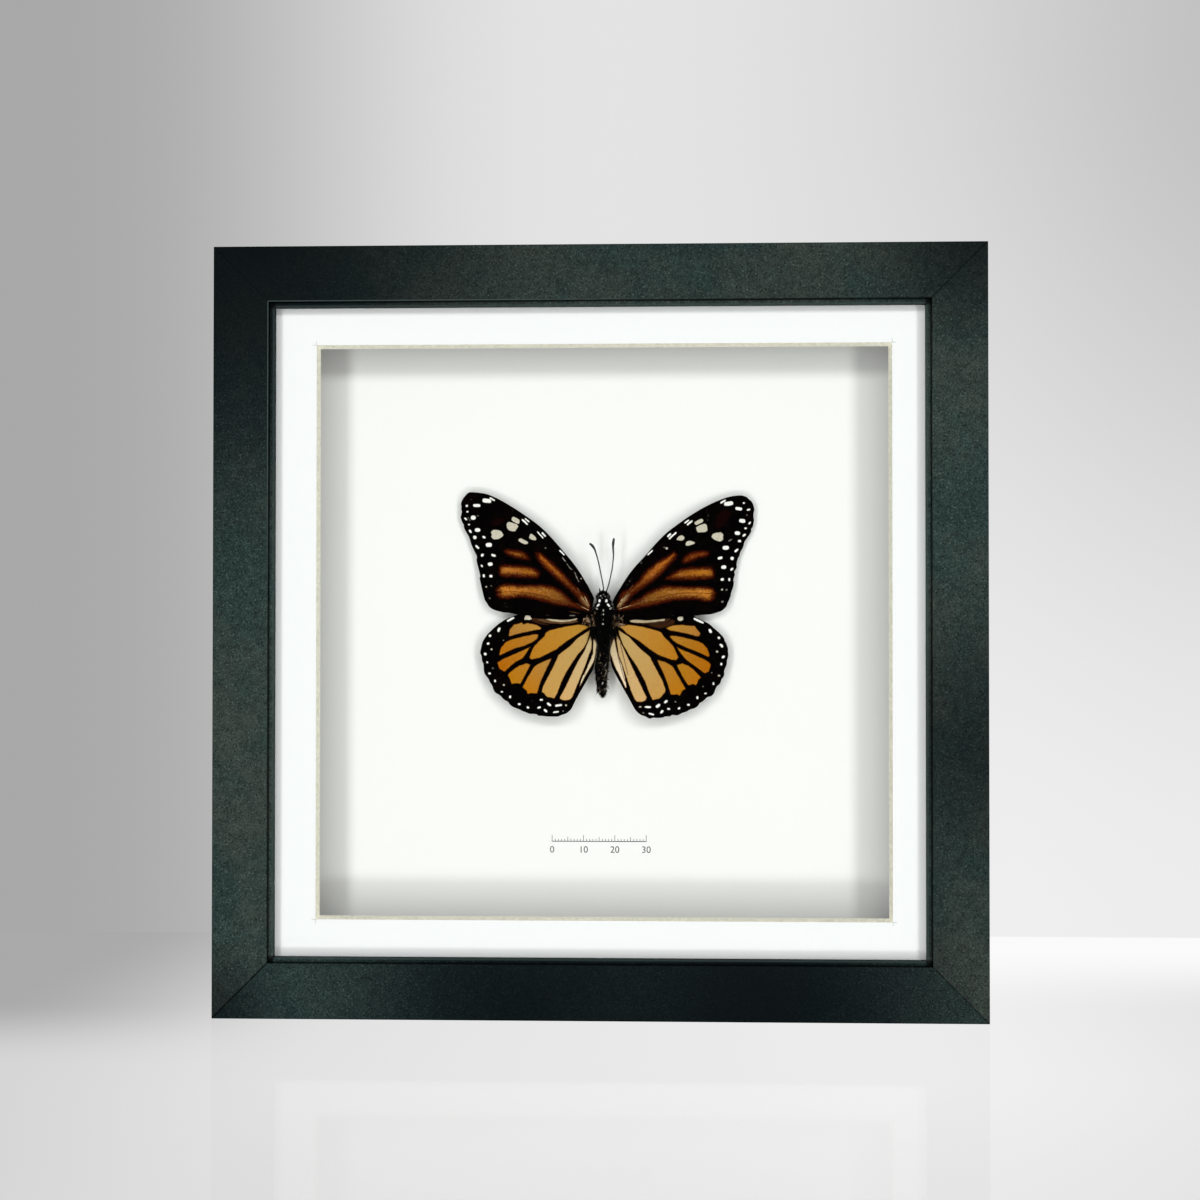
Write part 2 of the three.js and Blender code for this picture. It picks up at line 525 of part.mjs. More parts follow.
const part = new THREE.Group();
part.add(
  frameRails(),
  piece("glass", sheetGeometry(PANE_SIDE, GLASS_FRONT, GLASS_THICK), CLEAR_GLASS),
  piece("mat", matGeometry(), MAT_BOARD),
  spacers(),
  piece("backing_card", cardGeometry(), WHITE_CARD),
  piece("back_panel", panelGeometry(), HARDBOARD),
  piece("hanger", hangerGeometry(), STEEL),
  rivet(-1),
  rivet(1),
  specimen(),
);

export default part;
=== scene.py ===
import math
import random

import bmesh
import bpy
import numpy as np
from mathutils import Euler, Matrix, Vector


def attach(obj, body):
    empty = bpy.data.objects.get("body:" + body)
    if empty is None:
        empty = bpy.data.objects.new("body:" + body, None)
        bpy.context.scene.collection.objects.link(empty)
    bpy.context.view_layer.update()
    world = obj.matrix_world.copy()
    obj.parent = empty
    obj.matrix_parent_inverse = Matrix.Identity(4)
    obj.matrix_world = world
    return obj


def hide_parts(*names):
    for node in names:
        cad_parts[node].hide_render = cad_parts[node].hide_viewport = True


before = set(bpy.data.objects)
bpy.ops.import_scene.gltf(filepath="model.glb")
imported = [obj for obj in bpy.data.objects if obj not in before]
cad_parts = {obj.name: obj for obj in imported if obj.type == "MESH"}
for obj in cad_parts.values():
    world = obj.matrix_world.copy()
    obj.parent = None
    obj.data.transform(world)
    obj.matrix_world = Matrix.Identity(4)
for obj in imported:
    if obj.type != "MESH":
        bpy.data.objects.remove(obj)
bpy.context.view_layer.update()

# Room
# A pale table with a pale wall about 20 cm behind the frame. Both glow softly, so the frame throws
# no shadow on them, and the wall can't be seen from its far side. Their glow carries painted light
# and shade, darker to the left.


class Signal:
    """One output in a finish's node tree. Sums and products on it add Math nodes."""

    def __init__(self, finish, socket):
        self.finish = finish
        self.socket = socket

    def math(self, operation, *others):
        values = {i: value for i, value in enumerate((self, *others))}
        return self.finish.node("Math", {"operation": operation}, values)

    def __add__(self, other):
        return self.math("ADD", other)

    def __mul__(self, other):
        return self.math("MULTIPLY", other)

    def __sub__(self, other):
        return self.math("SUBTRACT", other)

    def __rsub__(self, other):
        return self.finish.node("Math", {"operation": "SUBTRACT"}, {0: other, 1: self})

    def __abs__(self):
        return self.math("ABSOLUTE")

    __radd__ = __add__
    __rmul__ = __mul__


class Finish:
    """A material in the making, with its own object coordinates in metres as place."""

    def __init__(self, name, **constants):
        self.material = bpy.data.materials.new(name)
        self.material.use_nodes = True
        self.tree = self.material.node_tree
        self.shader = self.tree.nodes["Principled BSDF"]
        self.place = self.node("TexCoord", out="Object")
        for key, value in constants.items():
            self.shader.inputs[key.replace("_", " ")].default_value = value

    def connect(self, plug, value):
        if isinstance(value, Signal):
            self.tree.links.new(value.socket, plug)
        elif plug.type == "RGBA":
            plug.default_value = (*value, 1)
        else:
            plug.default_value = value

    def node(self, kind, settings=None, feeds=None, out=0):
        node = self.tree.nodes.new("ShaderNode" + kind)
        for key, value in (settings or {}).items():
            if key == "stops":
                node.color_ramp.interpolation = "B_SPLINE"
                ramp = node.color_ramp.elements
                while len(ramp) < len(value):
                    ramp.new(0.5)
                for stop, (position, colour) in zip(ramp, value):
                    stop.position = position
                    stop.color = (*colour, 1)
            else:
                setattr(node, key, value)
        for key, value in (feeds or {}).items():
            self.connect(node.inputs[key], value)
        return Signal(self, node.outputs[out])

    def axis(self, letter):
        return self.node("SeparateXYZ", {}, {0: self.place}, letter)

    def noise(self, per_metre, detail=3, rough=0.5, place=None, stretch=None):
        place = place or self.place
        if stretch:
            place = self.node("VectorMath", {"operation": "MULTIPLY"}, {0: place, 1: stretch})
        feeds = {"Vector": place, "Scale": per_metre, "Detail": detail, "Roughness": rough}
        return self.node("TexNoise", {}, feeds)

    def step(self, value, low, high):
        feeds = {"Value": value, "From Min": low, "From Max": high}
        return self.node("MapRange", {"interpolation_type": "SMOOTHSTEP"}, feeds)

    def mix(self, mask, under, over, blend="MIX"):
        settings = {"data_type": "RGBA", "blend_type": blend}
        return self.node("Mix", settings, {0: mask, 6: under, 7: over}, 2)

    def attribute(self, name, out="Fac"):
        return self.node("Attribute", {"attribute_name": name}, out=out)

    def bump(self, height, depth):
        return self.node("Bump", {}, {"Height": height, "Distance": depth})

    def feed(self, **sockets):
        for key, value in sockets.items():
            self.connect(self.shader.inputs[key.replace("_", " ")], value)
        return self.material


def seen(*levels):
    """A colour as the eye sees it, 0 to 255 a channel, as a light level for a shader."""
    return tuple(c / 255 / 12.92 if c < 10 else ((c / 255 + 0.055) / 1.055) ** 2.4 for c in levels)


def plain_object(name, bm, *materials):
    mesh = bpy.data.meshes.new(name)
    bm.to_mesh(mesh)
    bm.free()
    for material in materials:
        mesh.materials.append(material)
    made = bpy.data.objects.new(name, mesh)
    bpy.context.scene.collection.objects.link(made)
    return made


WALL_Y = 0.224
ROOM_HALF = 1.6
VIEW_LEFT, VIEW_WIDE = -0.25, 0.48


def across(finish, *stops):
    """Painted light and shade: grey levels from the left of the view to its right."""
    share = (finish.axis("X") - VIEW_LEFT) * (1 / VIEW_WIDE)
    greys = [(at, (level,) * 3) for at, level in stops]
    return finish.node("ValToRGB", {"stops": greys}, {0: share}, "Color")


def glow(finish, tone, gloss):
    """A sheet that glows softly on the side of the room, under a faint mirror."""
    light = finish.node("Emission", {}, {"Color": tone})
    shine = finish.node("BsdfGlossy", {}, {"Roughness": 0.04, "Color": (1, 1, 1)})
    glossy = finish.node("MixShader", {}, {0: gloss, 1: light, 2: shine})
    away = finish.node("NewGeometry", out="Backfacing")
    clear = finish.node("BsdfTransparent")
    both = finish.node("MixShader", {}, {0: away, 1: glossy, 2: clear})
    finish.tree.links.new(both.socket, finish.tree.nodes["Material Output"].inputs["Surface"])
    finish.material.cycles.emission_sampling = "NONE"
    return finish.material


wall = Finish("wall_glow")
# Painted light: a bright patch low on the wall, right of the frame.
painted_light_low_right = wall.step(wall.axis("Z"), 0.36, 0.0) * wall.step(wall.axis("X"), 0.0, 0.16)
# Painted light and shade across the wall: dark at the left, lightest just right of the middle.
wall_tone = across(
    wall, (0, 0.39), (0.17, 0.41), (0.36, 0.76), (0.55, 0.79), (0.78, 0.69), (1, 0.51))
wall_glow = glow(wall, wall.mix(painted_light_low_right * 0.8, wall_tone, (0.92,) * 3), 0.0)

table = Finish("table_glow")
# Painted shadow at the far left of the table, painted light at its far right.
painted_shadow_far_left = table.step(table.axis("Y"), -0.11, 0.02) * table.step(table.axis("X"), -0.08, -0.2)
painted_light_far_right = table.step(table.axis("Y"), 0.0, 0.18) * table.step(table.axis("X"), 0.0, 0.12)
# Painted light and shade across the table, darker at its left and right edges.
table_tone = across(table, (0.2, 0.66), (0.36, 0.82), (0.6, 0.87), (0.75, 0.90), (0.95, 0.74))
# Painted shade: the table darkens slightly towards the front.
table_tone = table.mix(table.step(table.axis("Y"), -0.1, -0.32) * 0.08, table_tone, (0, 0, 0))
table_tone = table.mix(painted_light_far_right, table.mix(painted_shadow_far_left, table_tone, (0.40,) * 3), (0.965,) * 3)
table_glow = glow(table, table_tone, 0.05)
for name, turn, place, material in (
    ("wall", math.pi / 2, (0, WALL_Y, ROOM_HALF), wall_glow),
    ("table", 0, (0, WALL_Y - ROOM_HALF, 0), table_glow),
):
    bm = bmesh.new()
    matrix = Matrix.Translation(place) @ Matrix.Rotation(turn, 4, "X")
    bmesh.ops.create_grid(bm, x_segments=1, y_segments=1, size=ROOM_HALF, matrix=matrix)
    sheet = plain_object(name, bm, material)
    sheet.visible_shadow = sheet.visible_diffuse = False
    sheet.visible_glossy = name == "wall"

# Light and camera
# Four long soft lamps stand in front as the sides of a square, so that each side of the mat throws a
# shadow on the card that fades and then stops short, twice as deep in the corners. One more lamp
# lights the back. The camera stands a little to the right.
AIM = Vector((0.0, 0.0, 0.12))
LAMP_AWAY = 1.6


def lamp(name, sideways, upwards, wide, tall, power, towards=-1):
    """A lamp turned to the frame. Its place and size are shares of its distance."""
    light = bpy.data.lights.new(name, "AREA")
    light.shape = "RECTANGLE"
    light.size = wide * LAMP_AWAY
    light.size_y = tall * LAMP_AWAY
    light.energy = power
    holder = bpy.data.objects.new(name, light)
    away = Vector((sideways, towards, upwards))
    holder.location = AIM + away * LAMP_AWAY
    holder.rotation_euler = away.to_track_quat("Z", "Y").to_euler()
    bpy.context.scene.collection.objects.link(holder)


lamp("lamp_left", -0.425, -0.097, 0.19, 1.05, 11.3)
lamp("lamp_right", 0.59, -0.097, 0.19, 1.05, 11.1)
lamp("lamp_top", 0.083, 0.427, 1.02, 0.19, 11.7)
lamp("lamp_bottom", 0.083, -0.62, 1.02, 0.19, 8.0)
lamp("lamp_behind", -0.44, 0.4, 0.2, 0.2, 12, towards=1)

world = bpy.data.worlds.new("room_air")
world.use_nodes = True
world.node_tree.nodes["Background"].inputs["Color"].default_value = (1.0, 0.985, 0.98, 1)
world.node_tree.nodes["Background"].inputs["Strength"].default_value = 0.1
bpy.context.scene.world = world
bpy.context.scene.view_settings.view_transform = "Standard"

view = bpy.data.cameras.new("viewpoint")
view.sensor_width = 36
view.lens = 77.88
view.clip_start = 0.01
camera = bpy.data.objects.new("viewpoint", view)
camera.location = (0.0402, -0.8175, 0.1155)
camera.rotation_euler = Euler([math.radians(turn) for turn in (91.02, -0.02, 2.83)])
bpy.context.scene.collection.objects.link(camera)
bpy.context.scene.camera = camera

# Rails
# Four lengths of one wooden moulding, painted satin black, mitred and glued at the corners. The
# wide flat face has eased arrises, and steps down to a narrow lip that holds the glass.
MM = 0.001
FRAME_HALF = 120 * MM
FRONT = -17.5
DEPTH = 35
FACE = 17.3
SIGHT = 19.1
REBATE = 14.8
LIP_THICK = 4


def piece(name, bm, materials, nodes, sharp=None):
    """A finished mesh that rides on the frame. Faces smooth over edges flatter than sharp."""
    made = plain_object(name, bm, *materials)
    if sharp:
        made.data.shade_smooth()
        made.data.set_sharp_from_angle(angle=math.radians(sharp))
    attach(made, "root")
    if nodes:
        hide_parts(*nodes)
    return made


def stripe(finish, distance, full, gone):
    """1 within so many mm of a place, and 0 from farther away."""
    return 1 - finish.step(abs(distance), full * MM, gone * MM)


# Painted reflection, dimmer where paint mirrors a dim part of the room: X, Z, radius and how dim.
DIM = ((-115, 240, 112, 0.8), (118, 240, 45, 0.55), (-25, 4, 70, 0.68), (50, 4, 85, 0.78),
       (118, 85, 58, 0.42), (-120, 0, 28, 0.5))

# The black paint carries a painted sheen: the room's reflection painted as a lighter greenish tone, dimmer
# at the DIM places and broken into cloudy patches.
paint = Finish("black_paint", Specular_IOR_Level=0.03)
cloud = paint.noise(28, 4, 0.62)
mottle = paint.noise(420, 5, 0.7)
speckle = paint.noise(1900, 3, 0.65)
painted_sheen = 1
for x, z, radius, share in DIM:
    spot = {0: paint.place, 1: (x * MM, FRONT * MM, z * MM)}
    away = paint.node("VectorMath", {"operation": "DISTANCE"}, spot, "Value")
    painted_sheen = painted_sheen * (1 - paint.step(away, radius * MM, 0) * share)
patchy_sheen = 0.52 + 0.48 * paint.step(cloud * 0.4 + mottle * 0.6, 0.36, 0.64)

# Distances in from the nearest outer side of the frame and from the one that meets it there.
aside, aloft = abs(paint.axis("X")), abs(paint.axis("Z") - FRAME_HALF)
inward = FRAME_HALF - aside.math("MAXIMUM", aloft)
beside = FRAME_HALF - aside.math("MINIMUM", aloft)
level = paint.step(aloft - aside, -0.05 * MM, 0.05 * MM)
low = level * paint.step(paint.axis("Z"), 30 * MM, 20 * MM)
high = paint.step(paint.axis("Z"), 100 * MM, 200 * MM)
left = paint.step(paint.axis("X"), 60 * MM, -60 * MM)
joint = stripe(paint, beside - inward, 0.16, 0.5)
# Painted shade: a dark line down the step where the face drops to the lip.
painted_step_shade = stripe(paint, inward - (FACE + 0.15) * MM, 0.08, 0.4)
# Painted highlight: a thin light line along the face's inner arris, on the top left only.
painted_arris_highlight = stripe(paint, inward - (FACE - 0.15) * MM, 0.05, 0.2) * high * left
# Painted shade: the step and lip darken towards the four inner corners.
corner = paint.step(beside, (SIGHT + 0.7) * MM, (SIGHT - 0.3) * MM)
painted_corner_shade = corner * paint.step(inward, (FACE - 0.1) * MM, (FACE + 0.2) * MM)
# Painted highlight: the lip's sloped strip is painted lighter and greener than the face.
lip = paint.step(inward, (FACE + 0.9) * MM, (FACE + 1.4) * MM)
lip = lip * paint.step(paint.axis("Y"), (FRONT + 2.2) * MM, (FRONT + 1.8) * MM)
painted_sheen_tone = paint.mix(paint.step(cloud, 0.38, 0.62), seen(48, 66, 62), seen(57, 65, 60))
# Painted shade: the bottom rail's painted sheen is darker and more teal.
painted_sheen_tone = paint.mix(low * 0.6, painted_sheen_tone, seen(34, 57, 55))
# Painted shade: the top and bottom rails show less of the painted sheen than the sides.
painted_sheen = painted_sheen * painted_sheen * (1 - 0.18 * level)
paint_tone = paint.mix(painted_sheen * patchy_sheen, (0.001, 0.0028, 0.0038), painted_sheen_tone)
for mask, tone in (
    # Light specks that show only where the painted sheen is: painted glints.
    (paint.step(speckle, 0.54, 0.74) * painted_sheen * 0.8, seen(88, 103, 97)),
    (paint.step(speckle, 0.47, 0.3) * 0.9, (0.001, 0.0022, 0.003)),
    (joint * (0.45 + left * (0.4 - 0.8 * high)), (0.0001, 0.0003, 0.0004)),
    (lip * 0.4, seen(62, 76, 73)),
    (painted_step_shade * 0.7, (0.0003, 0.0006, 0.0007)),
    (painted_corner_shade * 0.8, (0.0001, 0.0003, 0.0003)),
    (painted_arris_highlight * 0.6, seen(84, 100, 97)),
):
    paint_tone = paint.mix(mask, paint_tone, tone)
paint_skin = paint.bump(mottle * 0.7 + speckle * 0.5, 0.00012)
black_paint = paint.feed(Base_Color=paint_tone, Roughness=0.46 + 0.2 * mottle, Normal=paint_skin)

# The moulding's section, as mm in from the outer side and mm behind the front.
STEP_TOP, STEP_FOOT, SIGHT_EDGE = (FACE + 0.1, 1.1), (FACE + 0.9, 1.55), (SIGHT, 1.7)
RAIL_PROFILE = ((0, 0), (FACE, 0), STEP_TOP, STEP_FOOT, SIGHT_EDGE, (SIGHT, LIP_THICK),
                (REBATE, LIP_THICK), (REBATE, DEPTH), (0, DEPTH))
RAIL_ARRISES = ((0.55, 3, ((0, 0),)), (0.3, 2, ((FACE, 0), (0, DEPTH), SIGHT_EDGE)),
                (0.12, 2, (STEP_TOP, STEP_FOOT)))
BLANK_HALF = 130
MITRE_GAP = 0.02
MITRE_EASE = 0.05


def rail(name, quarter):
    bm = bmesh.new()
    corners = [bm.verts.new((-BLANK_HALF * MM, (FRONT + depth) * MM, inset * MM))
               for inset, depth in RAIL_PROFILE]
    far = bmesh.ops.extrude_face_region(bm, geom=[bm.faces.new(corners)])["geom"]
    moved = [v for v in far if isinstance(v, bmesh.types.BMVert)]
    bmesh.ops.translate(bm, verts=moved, vec=(2 * BLANK_HALF * MM, 0, 0))
    for radius, segments, spots in RAIL_ARRISES:
        chosen = [e for e in bm.edges if e.calc_length() > BLANK_HALF * MM and any(
            math.hypot(e.verts[0].co.z / MM - inset, e.verts[0].co.y / MM - FRONT - depth) < 0.01
            for inset, depth in spots)]
        bmesh.ops.bevel(bm, geom=chosen, offset=radius * MM, affect="EDGES", segments=segments,
                        profile=0.5, material=-1)
    for hand in (-1, 1):
        everything = bm.verts[:] + bm.edges[:] + bm.faces[:]
        mitre = (hand * (FRAME_HALF - MITRE_GAP * MM), 0, 0)
        cut = bmesh.ops.bisect_plane(bm, geom=everything, dist=1e-7, clear_outer=True,
                                     plane_co=mitre, plane_no=(hand, 0, 1))
        rim = [e for e in cut["geom_cut"] if isinstance(e, bmesh.types.BMEdge)]
        bmesh.ops.holes_fill(bm, edges=rim, sides=0)
        bmesh.ops.bevel(bm, geom=rim, offset=MITRE_EASE * MM, affect="EDGES", segments=1, profile=0.5,
                        material=-1)
    bmesh.ops.recalc_face_normals(bm, faces=bm.faces[:])
    turn = Matrix.Rotation(quarter * math.pi / 2, 4, "Y")
    about = Matrix.Translation((0, 0, FRAME_HALF)) @ turn @ Matrix.Translation((0, 0, -FRAME_HALF))
    bmesh.ops.transform(bm, matrix=about, verts=bm.verts[:])
    piece(name + "_moulding", bm, [black_paint], [name], 28)


for quarter, name in enumerate(("rail_bottom", "rail_left", "rail_top", "rail_right")):
    rail(name, quarter)

# Glass
# One clear pane, 1.8 mm thick, that lies in the rails' rebate behind the lip. Its coating takes
# away most of the room's reflection, except at a slant.


def dress(node, material):
    """A plain solid that keeps its own shape and takes a finish."""
    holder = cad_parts[node].material_slots[0]
    holder.link = "OBJECT"
    holder.material = material


pane = Finish("clear_pane")
shine = pane.node("BsdfGlossy", {}, {"Color": (1, 1, 1), "Roughness": 0.015})
clear = pane.node("BsdfTransparent", {}, {"Color": (0.985, 0.99, 0.985)})
mirror = pane.node("Fresnel", {}, {"IOR": 1.45})
both = pane.node("MixShader", {}, {0: mirror * 0.04, 1: clear, 2: shine})
pane.tree.links.new(both.socket, pane.tree.nodes["Material Output"].inputs["Surface"])
dress("glass", pane.material)

# Window mat
# White mat board cut by hand with a slanted blade, so its cream core shows round the window.
# The blade ran on a little past each corner. It is held against the glass by the spacers.
MAT_FRONT, MAT_BACK = 6.4, 7.8
MAT_HALF = 104.9
WINDOW_HALF = 89.75
WINDOW_SHIFT = 1.2
OVERCUT = 1.3
BEVEL_RUN = 1.1

board = Finish("mat_face", Roughness=0.92, Specular_IOR_Level=0.2)
fibre = board.noise(1500, 4, 0.65)
wash = board.noise(30, 2)
face_tone = board.mix(fibre * 0.25 + wash * 0.2, (0.905, 0.915, 0.92), (0.83, 0.845, 0.855))
from_middle = {"X": abs(board.axis("X") - WINDOW_SHIFT * MM),
               "Z": abs(board.axis("Z") - FRAME_HALF)}
slits = 0
for along, other in (("X", "Z"), ("Z", "X")):
    cut = stripe(board, from_middle[other] - WINDOW_HALF * MM, 0.05, 0.14)
    past = from_middle[along] - WINDOW_HALF * MM
    faded = 1 - board.step(past, (OVERCUT - 0.2) * MM, OVERCUT * MM)
    slits = slits + cut * board.step(past, -0.1 * MM, 0) * faded
face_tone = board.mix(slits * 0.6, face_tone, (0.32, 0.31, 0.27))
mat_face = board.feed(Base_Color=face_tone, Normal=board.bump(fibre, 0.00003))

core = Finish("mat_core", Roughness=0.95, Specular_IOR_Level=0.15)
core_fibre = core.noise(900, 5, 0.7)
core_tone = core.mix(core.step(core_fibre, 0.3, 0.7), (0.70, 0.67, 0.55), (0.92, 0.89, 0.76))
mat_core = core.feed(Base_Color=core_tone, Normal=core.bump(core_fibre, 0.00006))

lining = Finish("mat_back", Roughness=0.95, Specular_IOR_Level=0.15)
lining_tone = lining.mix(lining.noise(800, 5), seen(118, 106, 90), seen(146, 132, 112))
mat_back = lining.feed(Base_Color=lining_tone)

bm = bmesh.new()
upright = Matrix.Translation((0, (FRONT + MAT_FRONT) * MM, FRAME_HALF))
upright = upright @ Matrix.Rotation(math.pi / 2, 4, "X")
bmesh.ops.create_grid(bm, x_segments=1, y_segments=1, size=MAT_HALF * MM, matrix=upright)
middle = bm.faces[:]
bmesh.ops.inset_region(bm, faces=middle, thickness=(MAT_HALF - WINDOW_HALF) * MM,
                       use_boundary=True, use_even_offset=True)
bmesh.ops.delete(bm, geom=middle, context="FACES")
back = bmesh.ops.extrude_face_region(bm, geom=bm.faces[:])["geom"]
back = [v for v in back if isinstance(v, bmesh.types.BMVert)]
bmesh.ops.translate(bm, verts=back, vec=(0, (MAT_BACK - MAT_FRONT) * MM, 0))
window = [v for v in bm.verts if abs(v.co.x) < (WINDOW_HALF + 1) * MM]
narrow = 1 - BEVEL_RUN / WINDOW_HALF
bmesh.ops.scale(bm, verts=[v for v in window if v in back], vec=(narrow, 1, narrow),
                space=Matrix.Translation((0, 0, -FRAME_HALF)))
bmesh.ops.translate(bm, verts=window, vec=(WINDOW_SHIFT * MM, 0, 0))
bmesh.ops.recalc_face_normals(bm, faces=bm.faces[:])
for face in bm.faces:
    face.material_index = 1 if 0.2 < abs(face.normal.y) < 0.9 else 2 if face.normal.y > 0.9 else 0
piece("window_mat", bm, [mat_face, mat_core, mat_back], ["mat"])

# Spacers
# Strips of dark grey foam round the edge, seen only at a slant, that hold the mat 18 mm off the
# card and make the depth of the box.
foam = Finish("foam_strip", Roughness=0.9)
bubbles = foam.node("TexVoronoi", {}, {"Vector": foam.place, "Scale": 1400.0})
foam_tone = foam.mix(foam.step(bubbles, 0.0, 0.6), (0.05, 0.05, 0.055), (0.12, 0.12, 0.125))
grey_foam = foam.feed(Base_Color=foam_tone, Normal=foam.bump(bubbles, 0.00008))
for side in ("top", "bottom", "left", "right"):
    dress("spacer_" + side, grey_foam)

# Backing card
# A smooth white card behind everything. A small ruled scale of three centimetres is printed on it
# under the specimen in thin black ink.
CARD_FACE = 26.4
SCALE_LEFT, SCALE_Z = -16.0, 53.4
SCALE_LONG = 30
INK_Y = (FRONT + CARD_FACE - 0.02) * MM

card = Finish("white_card", Roughness=0.88, Specular_IOR_Level=0.2)
tooth = card.noise(1100, 4, 0.6)
uneven = tooth * 0.3 + card.noise(22, 2) * 0.2
card_tone = card.mix(uneven, (0.93, 0.935, 0.915), (0.86, 0.865, 0.845))
dress("backing_card", card.feed(Base_Color=card_tone, Normal=card.bump(tooth, 0.00003)))

ink = Finish("printed_ink", Roughness=0.7)
thin = ink.step(ink.noise(9000, 2), 0.45, 0.75)
ink_tone = ink.mix(thin, (0.012, 0.012, 0.013), (0.05, 0.05, 0.05))
black_ink = ink.feed(Base_Color=ink_tone)

bm = bmesh.new()


def stroke(left, low, wide, high):
    size = Matrix.Diagonal((wide * MM, 0.03 * MM, high * MM, 1))
    place = ((left + wide / 2) * MM, INK_Y, (low + high / 2) * MM)
    bmesh.ops.create_cube(bm, size=1, matrix=Matrix.Translation(place) @ size)


stroke(SCALE_LEFT, SCALE_Z - 0.12, SCALE_LONG + 0.2, 0.24)
for step in range(SCALE_LONG + 1):
    tall = 2.0 if step % 10 == 0 else 1.4 if step % 5 == 0 else 0.8
    stroke(SCALE_LEFT + step + 0.02, SCALE_Z, 0.16, tall)
for number in (0, 10, 20, 30):
    letters = bpy.data.curves.new("numeral", "FONT")
    letters.body = str(number)
    letters.size = 3.0 * MM
    letters.extrude = 0.015 * MM
    letters.align_x = "CENTER"
    written = bpy.data.objects.new("numeral", letters)
    shape = bpy.data.meshes.new_from_object(written)
    stand = Matrix.Translation(((SCALE_LEFT + number + 0.1) * MM, INK_Y, (SCALE_Z - 3.6) * MM))
    shape.transform(stand @ Matrix.Rotation(math.pi / 2, 4, "X"))
    bm.from_mesh(shape)
    bpy.data.objects.remove(written)
piece("printed_scale", bm, [black_ink], [])

# Back of the box
# A brown hardboard panel closes the box, held by eight steel points pressed into the rails. A
# sawtooth hanger is riveted to it near the top.
fibreboard = Finish("hardboard", Roughness=0.72)
pulp = fibreboard.noise(700, 6, 0.75)
flecks = fibreboard.noise(2600, 2, 0.5, stretch=(1, 1, 0.3))
board_tone = fibreboard.mix(pulp, seen(92, 62, 38), seen(150, 112, 76))
pale = fibreboard.step(flecks, 0.62, 0.74) * 0.6
board_tone = fibreboard.mix(pale, board_tone, seen(190, 160, 120))
hardboard = fibreboard.feed(Base_Color=board_tone, Normal=fibreboard.bump(pulp + flecks, 0.00015))
dress("back_panel", hardboard)

steel = Finish("zinc_steel", Metallic=1.0)
brush = steel.noise(900, 4, 0.6, stretch=(0.2, 1, 1))
spangle = steel.node("TexVoronoi", {}, {"Vector": steel.place, "Scale": 320.0}, "Color")
steel_tone = steel.mix(brush * 0.6, (0.42, 0.43, 0.44), (0.66, 0.67, 0.68))
steel_tone = steel.mix(0.12, steel_tone, spangle)
zinc_steel = steel.feed(Base_Color=steel_tone, Roughness=0.28 + 0.2 * brush,
                        Normal=steel.bump(brush, 0.00003))


def eased(node):
    """A copy of a plain steel solid with its sharp edges taken off."""
    bm = bmesh.new()
    bm.from_mesh(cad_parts[node].data)
    bmesh.ops.remove_doubles(bm, verts=bm.verts[:], dist=1e-6)
    bmesh.ops.dissolve_limit(bm, angle_limit=math.radians(1), verts=bm.verts[:], edges=bm.edges[:])
    sharp = [e for e in bm.edges if e.is_manifold and e.calc_face_angle() > math.radians(24)]
    bmesh.ops.bevel(bm, geom=sharp, offset=0.12 * MM, affect="EDGES", segments=2, profile=0.5,
                    material=-1)
    piece(node + "_eased", bm, [zinc_steel], [node], 35)


points = ["point_%d" % number for number in range(1, 9)]
for node in (*points, "hanger", "hanger_rivet_left", "hanger_rivet_right"):
    eased(node)
dress("body_pin", zinc_steel)

# Wings
# Four dried wings, spread flat with the forewings in front. Each is a membrane between four traced
# edges, raised along its veins and covered with coloured scales. Traced points are in millimetres
# right of and above the middle of the specimen.
SPECIMEN = (0.5, 125.5)
WING_STEPS = 150
MEMBRANE = 0.2
VEIN_RISE = 0.11
CURVE_STEPS = 10


def on_specimen(x, y, z):
    """A place in metres, from mm right of the middle, behind the frame's front and above it."""
    return Vector(((SPECIMEN[0] + x) * MM, (FRONT + y) * MM, (SPECIMEN[1] + z) * MM))


def trace(*numbers):
    return np.array(numbers, float).reshape(-1, 2)


def dots(tone, *numbers):
    """Dashes of one tone. Each is middle, half length, half width and turn in degrees."""
    return [(*dash, tone) for dash in np.reshape(numbers, (-1, 5))]


def smooth_line(points):
    """A smooth line through the points, as a function of the share of its length."""
    ends = np.vstack([2 * points[0] - points[1], points, 2 * points[-1] - points[-2]])
    share = np.linspace(0, 1, CURVE_STEPS, endpoint=False)[:, None]
    spans = []
    for a, b, c, d in zip(ends, ends[1:], ends[2:], ends[3:]):
        spans.append(0.5 * (2 * b + (c - a) * share + (2 * a - 5 * b + 4 * c - d) * share ** 2
                            + (3 * b - a - 3 * c + d) * share ** 3))
    line = np.vstack([*spans, points[-1:]])
    run = np.r_[0, np.cumsum(np.hypot(*np.diff(line, axis=0).T))]
    return lambda at: np.stack([np.interp(at * run[-1], run, line[:, k]) for k in (0, 1)], -1)


def patch(edges, s, t):
    """Points of a sheet between the inner edge, costa, root and outer margin."""
    inner, costa, root, margin = (smooth_line(edges[k]) for k in ("inner", "costa", "root", "margin"))
    s, t = s[:, None], t[:, None]
    low, high = edges["root"][0], edges["root"][-1]
    far_low, far_high = edges["margin"][0], edges["margin"][-1]
    corners = (1 - s) * (1 - t) * low + (1 - s) * t * high + s * (1 - t) * far_low + s * t * far_high
    s1, t1 = s[:, 0], t[:, 0]
    return (1 - t) * inner(s1) + t * costa(s1) + (1 - s) * root(t1) + s * margin(t1) - corners


